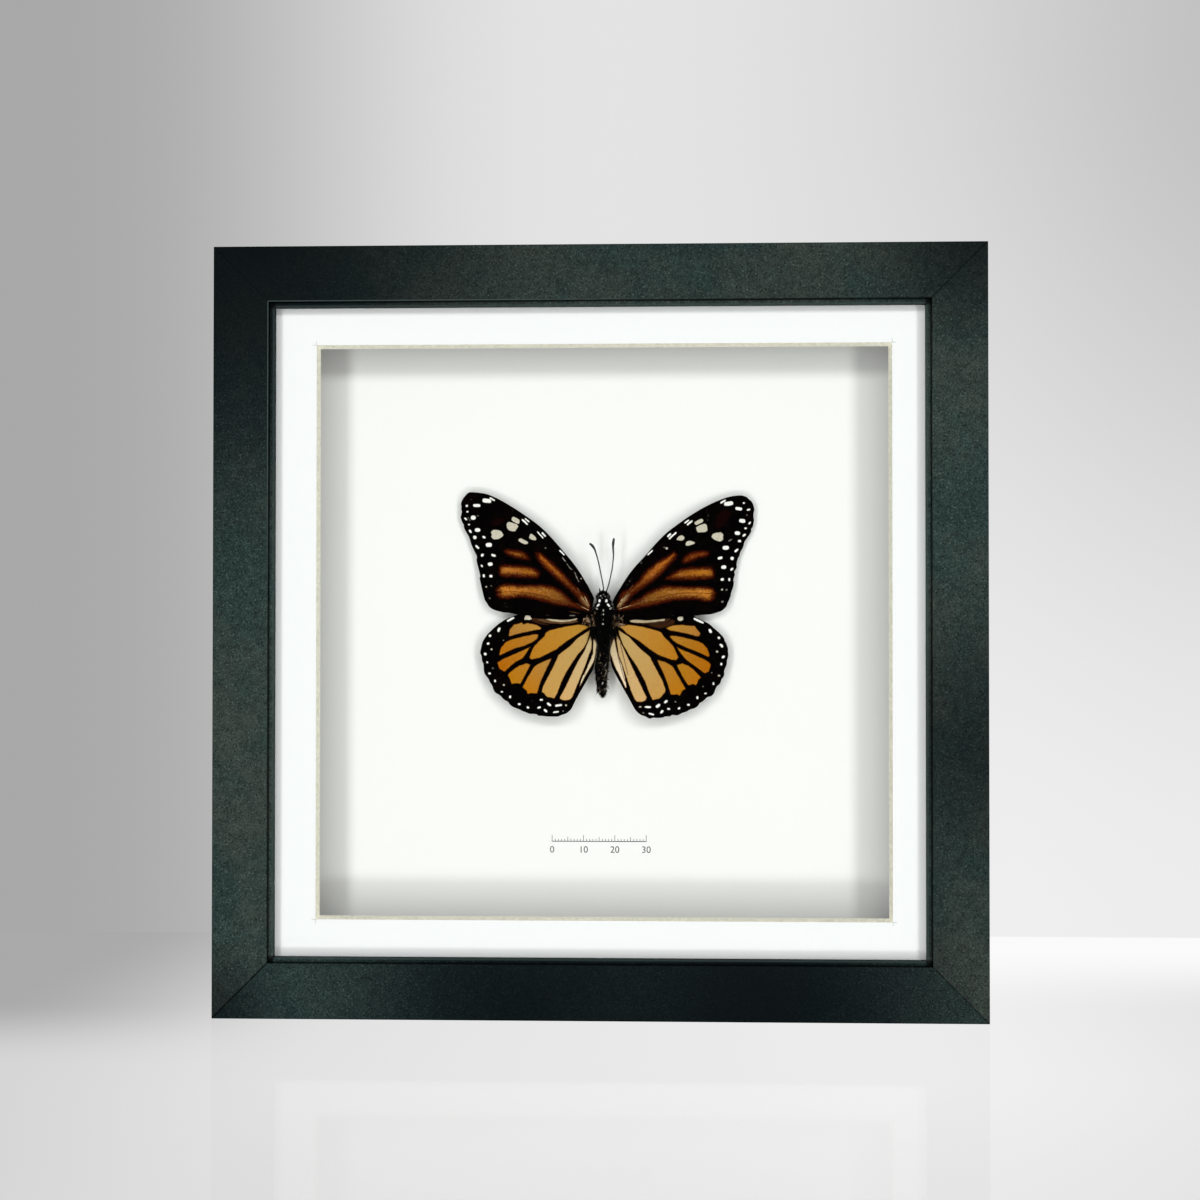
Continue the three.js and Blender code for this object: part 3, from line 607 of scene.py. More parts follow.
def reach(points, starts, ends):
    """Distance from each point to the nearest of some straight lines."""
    edge = ends - starts
    away = points[:, None] - starts
    share = np.clip((away * edge).sum(-1) / np.maximum((edge ** 2).sum(-1), 1e-9), 0, 1)
    return np.linalg.norm(away - share[..., None] * edge, axis=-1).min(1)


def inside(points, outline, slack=1):
    """Distance to a closed outline, positive inside. Edges that face down fade slower by slack."""
    ends = np.roll(outline, -1, 0)
    turn = np.sign((outline[:, 0] * ends[:, 1] - ends[:, 0] * outline[:, 1]).sum())
    under = turn * (ends[:, 0] - outline[:, 0]) > 0.3 * np.hypot(*(ends - outline).T)
    gap = reach(points, outline, ends)
    deep = np.minimum(gap, reach(points, outline[under], ends[under]) / slack) if slack > 1 else gap
    x, y = points.T[:, :, None]
    rise = ends[:, 1] - outline[:, 1]
    crossing = outline[:, 0] + (y - outline[:, 1]) * (ends[:, 0] - outline[:, 0]) / np.where(rise, rise, 1)
    hits = ((outline[:, 1] > y) != (ends[:, 1] > y)) & (x < crossing)
    return np.where(hits.sum(1) % 2 == 1, deep, -gap)


WHITE, CREAM, SILVER = seen(248, 248, 244), seen(204, 198, 180), seen(170, 168, 160)
GREY, FAINT, HAZE = seen(120, 118, 112), seen(56, 50, 46), seen(54, 30, 14)
TAWNY, BUFF = seen(220, 194, 146), seen(150, 104, 62)


def paint_spots(mesh, points, dashes, patches=()):
    """Attributes for pale spots: the distance inside the nearest one, and its colour."""
    best = np.full(len(points), -9.0)
    colour = np.ones((len(points), 4))
    gaps = []
    for x, y, long, wide, turn, tone in dashes:
        turn = math.radians(turn)
        arm = max(long - wide, 0) * np.array([math.cos(turn), math.sin(turn)])
        middle = np.array([x, y])
        gaps.append((wide - reach(points, (middle - arm)[None], (middle + arm)[None]), tone))
    gaps += [(inside(points, outline), tone) for outline, tone in patches]
    for gap, tone in gaps:
        nearer = gap > best
        best = np.where(nearer, gap, best)
        colour[nearer, :3] = tone
    put(mesh, "spot", "FLOAT", best)
    put(mesh, "spot_tone", "FLOAT_COLOR", colour)


def put(mesh, name, kind, values):
    field = mesh.attributes.new(name, kind, "POINT")
    field.data.foreach_set("value" if kind == "FLOAT" else "color", np.ravel(values))


def scales(name, soft, hatch, edge_tone):
    """The scaled skin of a wing. Soft is how far a coloured cell fades into the black, in mm, and
    hatch how strongly its rows of scales show."""
    skin = Finish(name, Specular_IOR_Level=0.02)
    rays = skin.node("UVMap", {"uv_map": "rays"})
    grit = skin.noise(1400, 4, 0.75)
    fine = skin.noise(6000, 2, 0.6)
    coarse = skin.noise(420, 4, 0.6)
    streak = skin.noise(1.0, 4, 0.7, place=rays, stretch=(0.5, 2.2, 1))
    barbs = skin.noise(1.0, 3, 0.7, place=rays, stretch=(1.7, 0.7, 1))
    rows = skin.node("TexVoronoi", {}, {"Vector": rays, "Scale": 7.0, "Randomness": 0.75})
    ground = skin.mix(skin.step(coarse * 0.7 + streak * 0.3, 0.46, 0.7), seen(1, 0, 0), seen(8, 3, 2))
    ground = skin.mix(skin.step(grit, 0.66, 0.84) * 0.25, ground, seen(36, 24, 18))
    ragged = skin.attribute("cell") + (grit - 0.5) * (0.25 + soft) + (streak - 0.5) * (0.15 + soft * 5)
    ragged = ragged + (barbs - 0.5) * (0.1 + soft * 4)
    cell_tone = skin.attribute("cell_tone", "Color")
    shade = skin.mix(1.0, cell_tone, (0.45, 0.32, 0.24), "MULTIPLY")
    lattice = skin.node("TexVoronoi", {}, {"Vector": rays, "Scale": 2.7, "Randomness": 0.55})
    weave = skin.step(streak * 0.35 + barbs * 0.3 + grit * 0.1 + lattice * 0.4, 0.57, 0.46)
    inner_tone = skin.mix(weave * hatch, cell_tone, shade)
    glint = skin.mix(0.16, cell_tone, seen(244, 214, 170))
    inner_tone = skin.mix(skin.step(grit, 0.56, 0.66) * hatch, inner_tone, glint)
    vein = 1 - skin.step(skin.attribute("fine_vein"), 0.06, 0.26)
    inner_tone = skin.mix(vein * 0.7, inner_tone, seen(64, 28, 8))
    tone = skin.mix(skin.step(ragged, -0.1 - soft * 2.3, 0.03 + soft * 1.1), ground, edge_tone)
    tone = skin.mix(skin.step(ragged, -0.03 + soft * 0.1, 0.1 + soft * 4), tone, inner_tone)
    spot = skin.attribute("spot") + (grit - 0.5) * 0.3
    spot_tone = skin.mix(skin.step(grit, 0.6, 0.4) * 0.35, skin.attribute("spot_tone", "Color"),
                         (0.6, 0.58, 0.5), "MULTIPLY")
    tone = skin.mix(skin.step(spot, -0.02, 0.14), tone, spot_tone)
    return skin.feed(Base_Color=tone, Roughness=0.8 + 0.2 * fine,
                     Normal=skin.bump(rows * 0.5 + streak * 0.5 + grit * 0.6, 0.00005))


def forewing_depth(s, t):
    """Drops back towards the card along its outer margin, most in the middle."""
    return 20 + s * (2.3 + 1.2 * t + 3.4 * t * (1 - t))


def hindwing_depth(s, t):
    return 21.1 + s * (4.7 * t - 2.6)


# Each kind of wing: its depth, its skin and how much slower a cell fades along its lower edge.
FOREWING = (forewing_depth, scales("forewing_scales", 0.3, 1, seen(70, 20, 4)), 1.5)
HINDWING = (hindwing_depth, scales("hindwing_scales", 0.03, 0.3, seen(84, 42, 8)), 1)


def wing(name, kind, edges, cells, dashes, patches, fine_veins):
    depth_at, skin, slack = kind
    bm = bmesh.new()
    bmesh.ops.create_grid(bm, x_segments=WING_STEPS, y_segments=WING_STEPS, size=0.5)
    s, t = (np.array([v.co[k] for v in bm.verts]) + 0.5 for k in (0, 1))
    flat = patch(edges, s, t)
    shares = np.array([inside(flat, outline, slack) for outline, _, _ in cells])
    order = np.sort(shares, 0)[::-1]
    crest = np.exp(-((order[0] - order[1]) / 0.45) ** 2) * np.exp(-np.maximum(-order[0] - 0.5, 0) / 5)
    crest *= np.clip(-order[0] / 0.25, 0, 1)
    middle = depth_at(s, t) - VEIN_RISE * crest
    for v, (x, z), y in zip(bm.verts, flat, middle):
        v.co = on_specimen(x, y, z)
    if edges["margin"][0][0] < 0:
        bmesh.ops.reverse_faces(bm, faces=bm.faces[:])
    made = piece(name + "_scaled", bm, [skin], [name], 80)
    mesh = made.data
    tones = np.ones((len(flat), 4))
    for k, (outline, near, far) in enumerate(cells):
        mine = shares.argmax(0) == k
        run = np.hypot(*outline.T)
        share = np.clip((np.hypot(*flat[mine].T) - run.min()) / np.ptp(run), 0, 1)[:, None]
        tones[mine, :3] = (1 - share) * seen(*near) + share * seen(*far)
    put(mesh, "cell", "FLOAT", order[0])
    put(mesh, "cell_tone", "FLOAT_COLOR", tones)
    paint_spots(mesh, flat, dashes, patches)
    starts = np.vstack([line[:-1] for line in fine_veins])
    ends = np.vstack([line[1:] for line in fine_veins])
    put(mesh, "fine_vein", "FLOAT", reach(flat, starts, ends))
    rays = mesh.uv_layers.new(name="rays")
    corner = np.empty(len(mesh.loops), int)
    mesh.loops.foreach_get("vertex_index", corner)
    rays.data.foreach_set("uv", np.ravel(np.stack([s[corner] * 40, t[corner] * 34], -1)))
    shell = made.modifiers.new("membrane", "SOLIDIFY")
    shell.thickness = MEMBRANE * MM
    shell.offset = 0


# Left forewing: mostly black, three soft tawny bars, a streak in the discal cell, cream windows
# before the tip and two rows of white dots along the margin.
wing("left_forewing", FOREWING, {
    "root": trace(-3.6, -1.4, -3.3, 1.8, -2.7, 5.2),
    "costa": trace(-2.7, 5.2, -5, 9.7, -8.45, 15.1, -11.7, 19.1, -16.5, 24.6, -20, 28, -25, 31.7,
        -30.8, 35.4, -35, 37.6, -38.1, 38.65, -42.3, 39.05, -43.6, 38.45),
    "margin": trace(-36.2, 2.45, -37.3, 4.15, -37.75, 4.95, -38.4, 7.4, -38.95, 9.8, -39.35, 11.6,
        -39.15, 12.25, -39.6, 14.2, -40.15, 16.3, -40.4, 17.4, -40.3, 18.6, -41.1, 20.25,
        -41.85, 21.9, -42.2, 22.8, -42.8, 24.8, -43.4, 25.8, -44.4, 27.7, -44.5, 28.7, -44.9, 29.3,
        -45.5, 31, -45.3, 31.9, -45.1, 32.9, -45.3, 33.7, -45.2, 34.5, -45.4, 35.3, -45.1, 36.3,
        -44.6, 37.2, -43.6, 38.45),
    "inner": trace(-3.6, -1.4, -6.5, -.8, -8.2, -1.1, -10, -1.45, -12.5, -1.65, -15, -1.3, -20, -1,
        -22, -.6, -25, -.05, -27.1, 0, -30, .6, -31.5, .7, -32.95, 1.05, -34.25, 1.4, -35.4, 1.9,
        -36.2, 2.45),
}, [
    (trace(-31.25, 20.15, -30.35, 20.5, -28.25, 20.3, -26.65, 20.1, -25.15, 19.45, -23.7, 17.75,
        -25.8, 18.05, -27.45, 18.3, -29.05, 18.85, -30.35, 19.35), (172, 112, 34), (146, 73, 14)),
    (trace(-32.95, 14.35, -32.5, 15.3, -31.2, 15.65, -29.05, 15.45, -24.2, 15, -21.95, 14.5,
        -20.3, 13.1, -20.9, 12, -23.4, 12.05, -29.05, 12.4, -31.5, 12.4,
        -32.65, 12.7), (164, 97, 21), (184, 115, 44)),
    (trace(-33.85, 7.85, -32.95, 7.05, -33.7, 6.3, -32.45, 5.5, -30.7, 5.35, -25.8, 5.9, -23.4, 5.6,
        -19.8, 4.75, -15, 3.45, -9.25, 2.65, -4.4, 1.35, -3.6, 2, -5.85, 2.05, -8.15, 2.95,
        -10.1, 4.1, -11.7, 5.7, -13.45, 7.35, -15.9, 8.6, -18.15, 9.1, -25.8, 9.15, -31.5, 9.5,
        -32.65, 9), (32, 14, 5), (203, 127, 43)),
    (trace(-21.1, 19.3, -19.95, 19.4, -17.7, 17.5, -14.95, 15.1, -12.35, 12.5, -9.75, 9.4, -7.15, 7,
        -5.4, 5.9, -4.4, 4.25, -5.55, 2.95, -7, 4.9, -10.1, 8, -13.95, 11.2, -17.5, 14.3,
        -20.3, 17.35), (33, 9, 3), (212, 120, 34)),
    (trace(-4.1, 1.9, -5.6, 2.6, -7.3, 4.5, -7.9, 6.2, -6.5, 6.7, -5.3, 5.2,
        -4.4, 3.4), (252, 222, 150), (116, 64, 12)),
], [
    *dots(WHITE, -43.5, 34.7, .45, .45, 0, -40.3, 34.8, 1.25, .5, 0, -43.35, 32.85, .45, .3, 0,
        -43.85, 30.55, .6, .3, -45, -41.45, 30.95, .85, .72, 0, -37.05, 36.3, 1.5, .68, -8,
        -35.35, 36.8, 1.05, .32, -32, -42.8, 28.75, .4, .34, 0, -42.4, 26.6, .65, .38, -50,
        -40.05, 27, .95, .66, 0, -40.95, 24.65, .65, .62, 0, -38, 24.7, .6, .38, -20,
        -36.4, 22.25, 1.05, .7, 0, -40.15, 21.6, .85, .35, -45, -38.5, 19, .6, .43, 45,
        -34.9, 18.9, .8, .42, -15, -35.95, 16.1, .85, .58, 10, -38.65, 15.55, .5, .34, -60,
        -38, 12.35, .6, .4, 90, -35.75, 12.25, .6, .48, 0, -24.85, 29.45, 1.35, .32, -43,
        -24.1, 30, 1, .28, -38, -19.9, 25.3, 1.55, .24, -48, -18.8, 25.45, .95, .33, -47,
        -12.95, 19.65, 1.25, .27, -45),
    *dots(CREAM, -42.85, 30.6, 1, .12, -50, -37.2, 8.85, .35, .33, 0, -6.85, 11.4, .28, .26, 0),
    *dots(GREY, -39.9, 31.5, .5, .2, 0, -35.6, 9.15, .3, .3, 0, -36.05, 5.2, .35, .3, 0,
        -18.2, 21.15, .35, .3, 0, -9.85, 14.4, .3, .26, 0, -8.75, 13.1, .5, .24, -60,
        -9.6, -.3, 1, .2, 0, -31.2, 3.6, .5, .1, 20, -30.7, 2.6, .45, .1, -30,
        -32, 2.8, .35, .1, 60),
    *dots(FAINT, -42.1, 36.7, .35, .3, 0, -28.8, 33.2, .3, .25, 0, -23, 7.2, .25, .2, 0,
        -17.5, -.2, .5, .14, 0),
    *dots(SILVER, -12.35, 17.5, 1, .17, -52, -10.8, 15.3, 1.15, .12, -55,
        -8.1, 11.5, 1.35, .14, -66),
    *dots(TAWNY, -5, 4.3, 1.7, .13, 117, -5.4, 1.9, 1.5, .12, 155),
    *dots(BUFF, -6.6, 2.7, 2, .1, 152, -9, .7, 1.6, .1, 170, -7.6, 7.7, 1, .12, 118),
], [
    (trace(-35.85, 26.25, -35.05, 27.05, -33.75, 27.05, -32.45, 26.65, -31.6, 25.35, -32, 24.85,
        -33.25, 24.05, -35, 23.95, -35.75, 24.8, -35.45, 25.5), CREAM),
    (trace(-30.8, 28.7, -30.4, 29.4, -29.85, 29.55, -28.4, 29.15, -27.3, 28.75, -26.9, 28.05,
        -27.95, 26.5, -29.2, 26.5, -30.25, 27, -30.65, 27.85), CREAM),
    (trace(-29.25, 30.05, -28.95, 30.95, -28.55, 31.3, -27.75, 30.85, -26.35, 30.05, -26.75, 28.85,
        -27.75, 29.1), CREAM),
    (trace(-36, 28.4, -34.6, 30.6, -32, 31, -31.5, 29.6, -33.4, 28.4), seen(17, 2, 2)),
    (trace(-23.65, 24.4, -23.1, 25.7, -22.6, 25.7, -21.55, 24.9, -20.95, 24, -21.45, 23.6,
        -22.65, 23.75), CREAM),
    (trace(-27.1, 23.5, -26.6, 24.25, -25.95, 24.3, -24.65, 23.65, -23.65, 22.95, -24, 22.45,
        -24.95, 22.35, -26.1, 22.95), CREAM),
], [
    trace(-32.5, 7.1, -29, 7.4, -25.1, 7, -21.6, 6.7, -17, 5.35),
    trace(-4.2, 1.9, -12, 4.6),
])

# Right forewing: the same markings, on a wing that is a little broader.
wing("right_forewing", FOREWING, {
    "root": trace(4.2, -1.4, 3.8, 1.6, 3.1, 4),
    "costa": trace(3.1, 4, 4.05, 6, 5.65, 8.6, 7.6, 11.7, 10, 14.9, 13.2, 18.4, 16.3, 22, 20, 25.75,
        24.5, 29.2, 27.75, 31.45, 32.55, 34.3, 37.4, 36.5, 40.6, 37.5, 43.8, 37.8, 45.6, 37.3),
    "margin": trace(38.3, 1.8, 39.05, 2.6, 39.5, 3.75, 39.95, 4.7, 40.35, 5.7, 40.6, 6.95, 41, 8.1,
        41.3, 9.05, 41.45, 10.2, 41.3, 11, 41.55, 11.95, 41.8, 12.85, 41.5, 13.4, 41.85, 14.05,
        42.4, 15, 42.3, 15.8, 42.4, 16.6, 42.7, 17.7, 43.25, 18.8, 43.5, 19.8, 44.05, 20.75,
        44.4, 21.4, 44.8, 23.05, 45.4, 23.95, 46.4, 25.4, 46.95, 26.35, 46.95, 27.15, 47.5, 27.95,
        47.7, 29.1, 47.85, 29.9, 47.65, 31.2, 47.75, 32.3, 47.95, 33.5, 47.45, 35.2, 46.95, 36,
        46.25, 36.6, 45.6, 37.3),
    "inner": trace(4.2, -1.4, 6.5, -.8, 9, -1.1, 11.5, -1.4, 14, -1.6, 17, -1.35, 20, -1.1,
        23.5, -.6, 25.5, -.6, 28.8, -.35, 31.75, -.05, 33.5, .05, 34.95, .3, 36.2, .7, 37.35, 1.1,
        38.3, 1.8),
}, [
    (trace(25.3, 17, 26.1, 18.15, 27.4, 19.1, 29.35, 19.7, 31.25, 20, 33.05, 19.7, 33.3, 19.2,
        32.05, 18.5, 30.15, 18.3, 28.55, 17.5, 26.9, 16.85,
        25.8, 16.55), (138, 75, 15), (148, 69, 10)),
    (trace(35.1, 12.95, 34.8, 13.9, 34.15, 14.7, 32.5, 14.85, 27.7, 14.55, 25, 14.2, 23.4, 13.6,
        22.25, 12.8, 20.15, 11.35, 23.4, 11.35, 27.7, 11.3, 33.3, 11.65,
        34.8, 11.95), (145, 84, 23), (185, 115, 31)),
    (trace(34.15, 8.25, 34.85, 7.75, 35.35, 6.7, 34.8, 6.05, 35.2, 5.4, 34.15, 4.55, 33.15, 4.3,
        30, 5.1, 25, 5, 21.8, 4.75, 17.75, 3.75, 13.7, 2.8, 7.25, 1.85, 5.3, 1.45, 5.4, 2,
        8.25, 2.8, 9.2, 3.75, 12.1, 4.9, 12.9, 5.85, 14.5, 6.85, 17.75, 8.15, 19.5, 8.8, 24.5, 8.6,
        32.5, 8.55), (34, 16, 6), (203, 130, 44)),
    (trace(23.05, 18.75, 22.6, 19.6, 20, 17.95, 17.75, 16.7, 14.5, 14.25, 12.9, 12.5, 11.8, 10.7,
        8.9, 8.1, 6.6, 7, 5.65, 5.7, 5.65, 3.4, 7.75, 5.05, 10.8, 7.5, 14.5, 10.05, 17.75, 12.5,
        20.5, 15.55, 22.75, 17.95), (18, 4, 2), (205, 118, 34)),
    (trace(4.6, 1.6, 5.3, 4.2, 6.9, 6.7, 8.5, 7.5, 9.5, 6.8, 8, 4.7,
        6, 2.4), (250, 224, 160), (84, 40, 10)),
], [
    *dots(WHITE, 38.05, 35.85, 1.1, .32, 32, 39.8, 35.2, 1.5, .68, 8, 43, 33.6, 1.15, .55, -10,
        44.65, 35.4, .4, .3, 0, 46.1, 33.3, .65, .36, 15, 44.1, 29.75, 1.05, .66, -8,
        46.5, 29.1, .6, .3, 50, 45.15, 27.4, .5, .38, 0, 44.7, 25.2, .7, .38, 40,
        42.6, 25.85, .95, .6, -8, 43.25, 23.35, .6, .48, 0, 38.9, 21.2, 1.1, .66, 0,
        42.25, 20.35, .8, .38, 40, 37.1, 17.95, .8, .48, 12, 40.9, 17.85, .6, .58, 0,
        38.25, 15.05, .85, .62, 0, 40.8, 14.4, .6, .38, 40, 37.8, 11.15, .6, .48, 0,
        40, 11.15, .6, .35, 90, 20.98, 25.15, .85, .36, 42, 22.1, 25, 1.7, .3, 42,
        26.55, 29.5, .95, .28, 37, 27.5, 29.1, 1.15, .33, 40, 15, 19.65, 1.2, .28, 43),
    *dots(GREY, 45.6, 31.55, .3, .25, 0, 40.3, 23.6, .75, .25, 28, 39.15, 7.85, .38, .36, 0,
        37.8, 4.1, .5, .33, 0, 19.45, 21.3, .35, .3, 0, 8.55, 10.6, .3, .2, 0,
        12.1, 16.4, .4, .2, 50, 32.95, 32.7, .4, .14, 100, 33.35, 31.4, .4, .14, 80,
        33.2, 30.1, .35, .14, 90),
    *dots(CREAM, 37.7, 7.95, .38, .36, 0, 20.2, 21, .45, .4, 0),
    *dots(FAINT, 9.2, 11.45, .3, .2, 50, 7.8, 9.45, .3, .2, 50, 22, -.3, .5, .14, 0),
    *dots(TAWNY, 5.6, 4, 1.9, .13, 60, 7, 2.3, 2.1, .12, 18),
    *dots(BUFF, 9.4, 2.9, 2, .1, 24, 9, 8.6, 1.1, .12, 55),
], [
    (trace(34.3, 24.6, 34.8, 25.65, 35.75, 26, 37.4, 26.15, 38.25, 25.4, 38, 24.6, 38.2, 23.8,
        37.15, 23.1, 35.95, 23.4, 34.8, 24.05), CREAM),
    (trace(29.4, 27.7, 30.95, 28.5, 32.25, 28.9, 32.85, 28.5, 33.05, 27.5, 33.2, 26.65,
        32.55, 26.15, 30, 26, 29.65, 26.7), CREAM),
    (trace(28.75, 29.15, 30, 29.95, 30.95, 30.45, 31.6, 30.35, 31.85, 29.7, 31.5, 29.2,
        29.5, 28.3), CREAM),
    (trace(35.5, 27.4, 36, 31.6, 38.6, 33.6, 41, 32.4, 38.8, 28.6, 36.6, 26.9), seen(17, 2, 2)),
    (trace(23.25, 23.7, 23.9, 24.85, 25, 25.25, 25.7, 24.8, 25.9, 24.2, 25.45, 23.55,
        24.5, 23.35), CREAM),
    (trace(26.05, 22.35, 26.45, 23.15, 27.7, 23.5, 29.35, 22.85, 29, 22.45, 27.4, 21.85,
        26.35, 21.8), CREAM),
], [
    trace(34, 6.6, 30, 6.9, 25, 6.8, 21, 6.3, 17, 5.2),
    trace(4.8, 1.8, 13, 4.4),
])

# Left hindwing: seven ochre cells and a long discal one between broad black veins, paler towards
# the body, with a black border that carries two rows of dots.
wing("left_hindwing", HINDWING, {
    "root": trace(-3.5, -5.5, -3.8, -3.8, -4.1, -2),
    "costa": trace(-4.1, -2, -7, .2, -12, .9, -18, 1.3, -23, 1.2, -27.15, 0, -29.15, -.7,
        -30.6, -1.3, -32, -2.15),
    "margin": trace(-10.8, -30.6, -11.75, -31.3, -13.05, -31.7, -14.2, -32.2, -16.2, -32.2,
        -17.7, -32.2, -19.15, -32, -20.3, -32, -20.75, -31.6, -21.75, -31.4, -23, -31.4,
        -24.3, -30.9, -25.45, -30.5, -26.4, -30, -27.55, -29.6, -28.5, -29.2, -29.35, -28.55,
        -30, -27.65, -30.8, -27.25, -31.6, -26.7, -32.1, -26.05, -32.9, -25.4, -34.05, -24.75,
        -34.7, -23.8, -35.1, -22.5, -35.8, -21.5, -36.3, -20.4, -37.1, -19.4, -37.6, -18.6,
        -37.85, -17.3, -37.95, -15.7, -38.4, -14.7, -38.6, -13.1, -39, -12.25, -38.9, -11.25,
        -38.6, -9.95, -38.25, -8.55, -37.3, -7, -36.7, -6.15, -35.8, -5.3, -34.8, -4.3, -33.4, -3.1,
        -32, -2.15),
    "inner": trace(-3.5, -5.5, -2.5, -7.2, -2.05, -9.5, -2.15, -12, -2.45, -14.6, -3, -17.3,
        -4, -18.9, -5, -20.85, -6.1, -22.7, -6.9, -24.1, -7.7, -25.55, -8.5, -27, -9.5, -29.1,
        -10, -29.9, -10.8, -30.6),
}, [
    (trace(-29.95, -6.7, -29.6, -4.6, -28.85, -3.85, -28.3, -3.15, -26.9, -2.9, -25.9, -2.4,
        -25.2, -3.1, -24.05, -2.65, -22.05, -3, -20.9, -3.35, -19.5, -4.2, -19.9, -4.7, -22.05, -5,
        -26.3, -5.9, -29.6, -6.85), (185, 136, 58), (170, 118, 52)),
    (trace(-20.65, -6.3, -20.5, -6.7, -20.9, -7.7, -22.05, -8.55, -24.9, -9.9, -27.75, -10.65,
        -30, -11.6, -32.55, -12.85, -32.9, -12.8, -32.7, -11.65, -32.4, -10.5, -30.85, -8.7,
        -29.15, -7.9, -27, -7.35, -24.9, -6.85, -21.5, -6.15), (173, 119, 42), (180, 108, 6)),
    (trace(-22.9, -10.1, -23.6, -11.1, -24.45, -12.5, -25.45, -13.8, -27.75, -15.05, -29.15, -16.2,
        -31.15, -18.1, -32.85, -17.2, -33.25, -16.05, -33.5, -15.2, -31.4, -13.9, -29.15, -12.95,
        -26.9, -12, -24.9, -11.1), (180, 121, 33), (176, 99, 5)),
    (trace(-22.95, -15.85, -24, -17.95, -25.6, -21.05, -26.2, -21.95, -27.3, -21.7, -28.95, -22,
        -29.2, -20.9, -30.15, -19.25, -29.5, -18.3, -28.2, -17.3, -26.6, -16.2,
        -24.15, -15.4), (179, 120, 37), (183, 118, 13)),
    (trace(-16.25, -13.85, -17.05, -15.7, -18.65, -18.95, -19.45, -20.7, -20.3, -23.15,
        -20.7, -24.9, -23.05, -24.9, -23.75, -25.25, -24.1, -24.1, -25.4, -23, -23.85, -19.9,
        -21.75, -16.5, -20.75, -15.8, -17.85, -14.4), (174, 129, 63), (188, 117, 8)),
    (trace(-4.25, -3.9, -5.9, -3.3, -7.8, -3.15, -12.5, -3.9, -16.9, -4.95, -18.15, -5.8,
        -18.5, -6.8, -20.65, -8.8, -21.75, -9.95, -22.5, -11.4, -23.35, -13.65, -22.5, -14.2,
        -20, -13.65, -18.15, -12.7, -14.95, -11.15, -11.7, -8.6, -8.45, -6.5,
        -5.9, -4.8), (182, 135, 51), (184, 121, 30)),
    (trace(-4.1, -4.85, -8, -7.45, -10.7, -10.2, -12.65, -11.65, -14.1, -12.9, -14.95, -14.9,
        -16.25, -17.65, -17.7, -20.4, -18.8, -22.5, -19.3, -24.45, -18.5, -25, -17.6, -26.1,
        -16.6, -26.2, -15.3, -26.6, -14.35, -24.9, -13.05, -21.35, -11.3, -17.8, -9.2, -14.6,
        -8, -12.8, -5.85, -10.35, -5.05, -8.9, -4.25, -6.15), (185, 154, 94), (200, 153, 80)),
    (trace(-3.9, -6.65, -5.85, -11.5, -8, -15.05, -9.75, -18.6, -11.9, -23.15, -13.55, -26.2,
        -13.4, -26.7, -12.6, -27.1, -11.3, -27.15, -10.3, -26.85, -9.5, -26.05, -8.2, -22.8,
        -6.75, -19.25, -5.45, -16.05, -4.35, -12.8, -3.45, -10.7,
        -3.45, -8.25), (195, 176, 133), (212, 170, 109)),
    (trace(-2.95, -7.3, -3.1, -12.3, -4.75, -16.35, -6.7, -20.4, -7.4, -23.1, -6.9, -22.3,
        -5.6, -19.75, -3.35, -15.9, -2.6, -14.3, -1.8, -9.2), (196, 178, 140), (226, 210, 178)),
], [
    *dots(WHITE, -29.4, -1.5, 1.35, .38, 28, -33.1, -4.8, .8, .46, 65, -35.95, -6.7, .5, .48, 0,
        -36.5, -9.2, .5, .43, 0, -37.4, -12.5, .55, .48, -45, -36.75, -15.1, .4, .38, 0,
        -36, -18.65, .5, .36, 0, -34.2, -21.05, .5, .32, 90, -32, -24.45, .45, .31, 0,
        -29.35, -26.1, .52, .37, 90, -26.4, -28.35, .5, .38, 0, -23.65, -29.4, .5, .36, -40,
        -19.4, -27, .55, .36, 0, -20.1, -29.4, .65, .36, 20, -16.95, -28.4, .8, .4, -38,
        -18, -30.4, .75, .38, -42, -13.85, -28.7, 1.15, .38, 10, -14.7, -30.8, 1, .31, 8),
    *dots(CREAM, -35.4, -11, .38, .36, 0, -31.4, -22.3, .4, .3, 0, -11.5, -28.7, .4, .36, 0),
    *dots(GREY, -31.6, -8.15, .3, .25, 0, -34.9, -17, .35, .32, 0, -12.4, -30.5, .35, .3, 0),
    *dots(FAINT, -22.3, -27.3, .3, .25, 0),
], [
    (trace(-25, -1.6, -24.9, -.6, -24.3, -.1, -23.1, -.2, -22.9, -.9, -22.3, -1.4,
        -23.5, -1.75), seen(212, 202, 184)),
    (trace(-18.8, -1.25, -16, -1.4, -13.2, -1.6, -10.4, -1.3, -8.5, -1, -7.8, -1.3, -8.6, -1.8,
        -10.4, -2.15, -13.2, -2.45, -16, -2.1), seen(206, 188, 158)),
    (trace(-21, -1.3, -18.9, -1.3, -16, -1.95, -13.2, -2.35, -10.4, -2.2, -8.2, -1.8, -7.8, -2.3,
        -10, -2.8, -13.2, -3, -16.5, -2.8, -18.8, -2.5, -20.6, -1.9), seen(92, 64, 40)),
    (trace(-23.2, -1.7, -22.6, -1, -21, -1, -20.6, -2, -18.8, -2.75, -16.5, -3.1, -17.5, -3.3,
        -19.4, -3.2, -21.5, -2.6), HAZE),
], [
    trace(-3.4, -9, -3.7, -13, -5.8, -19),
])

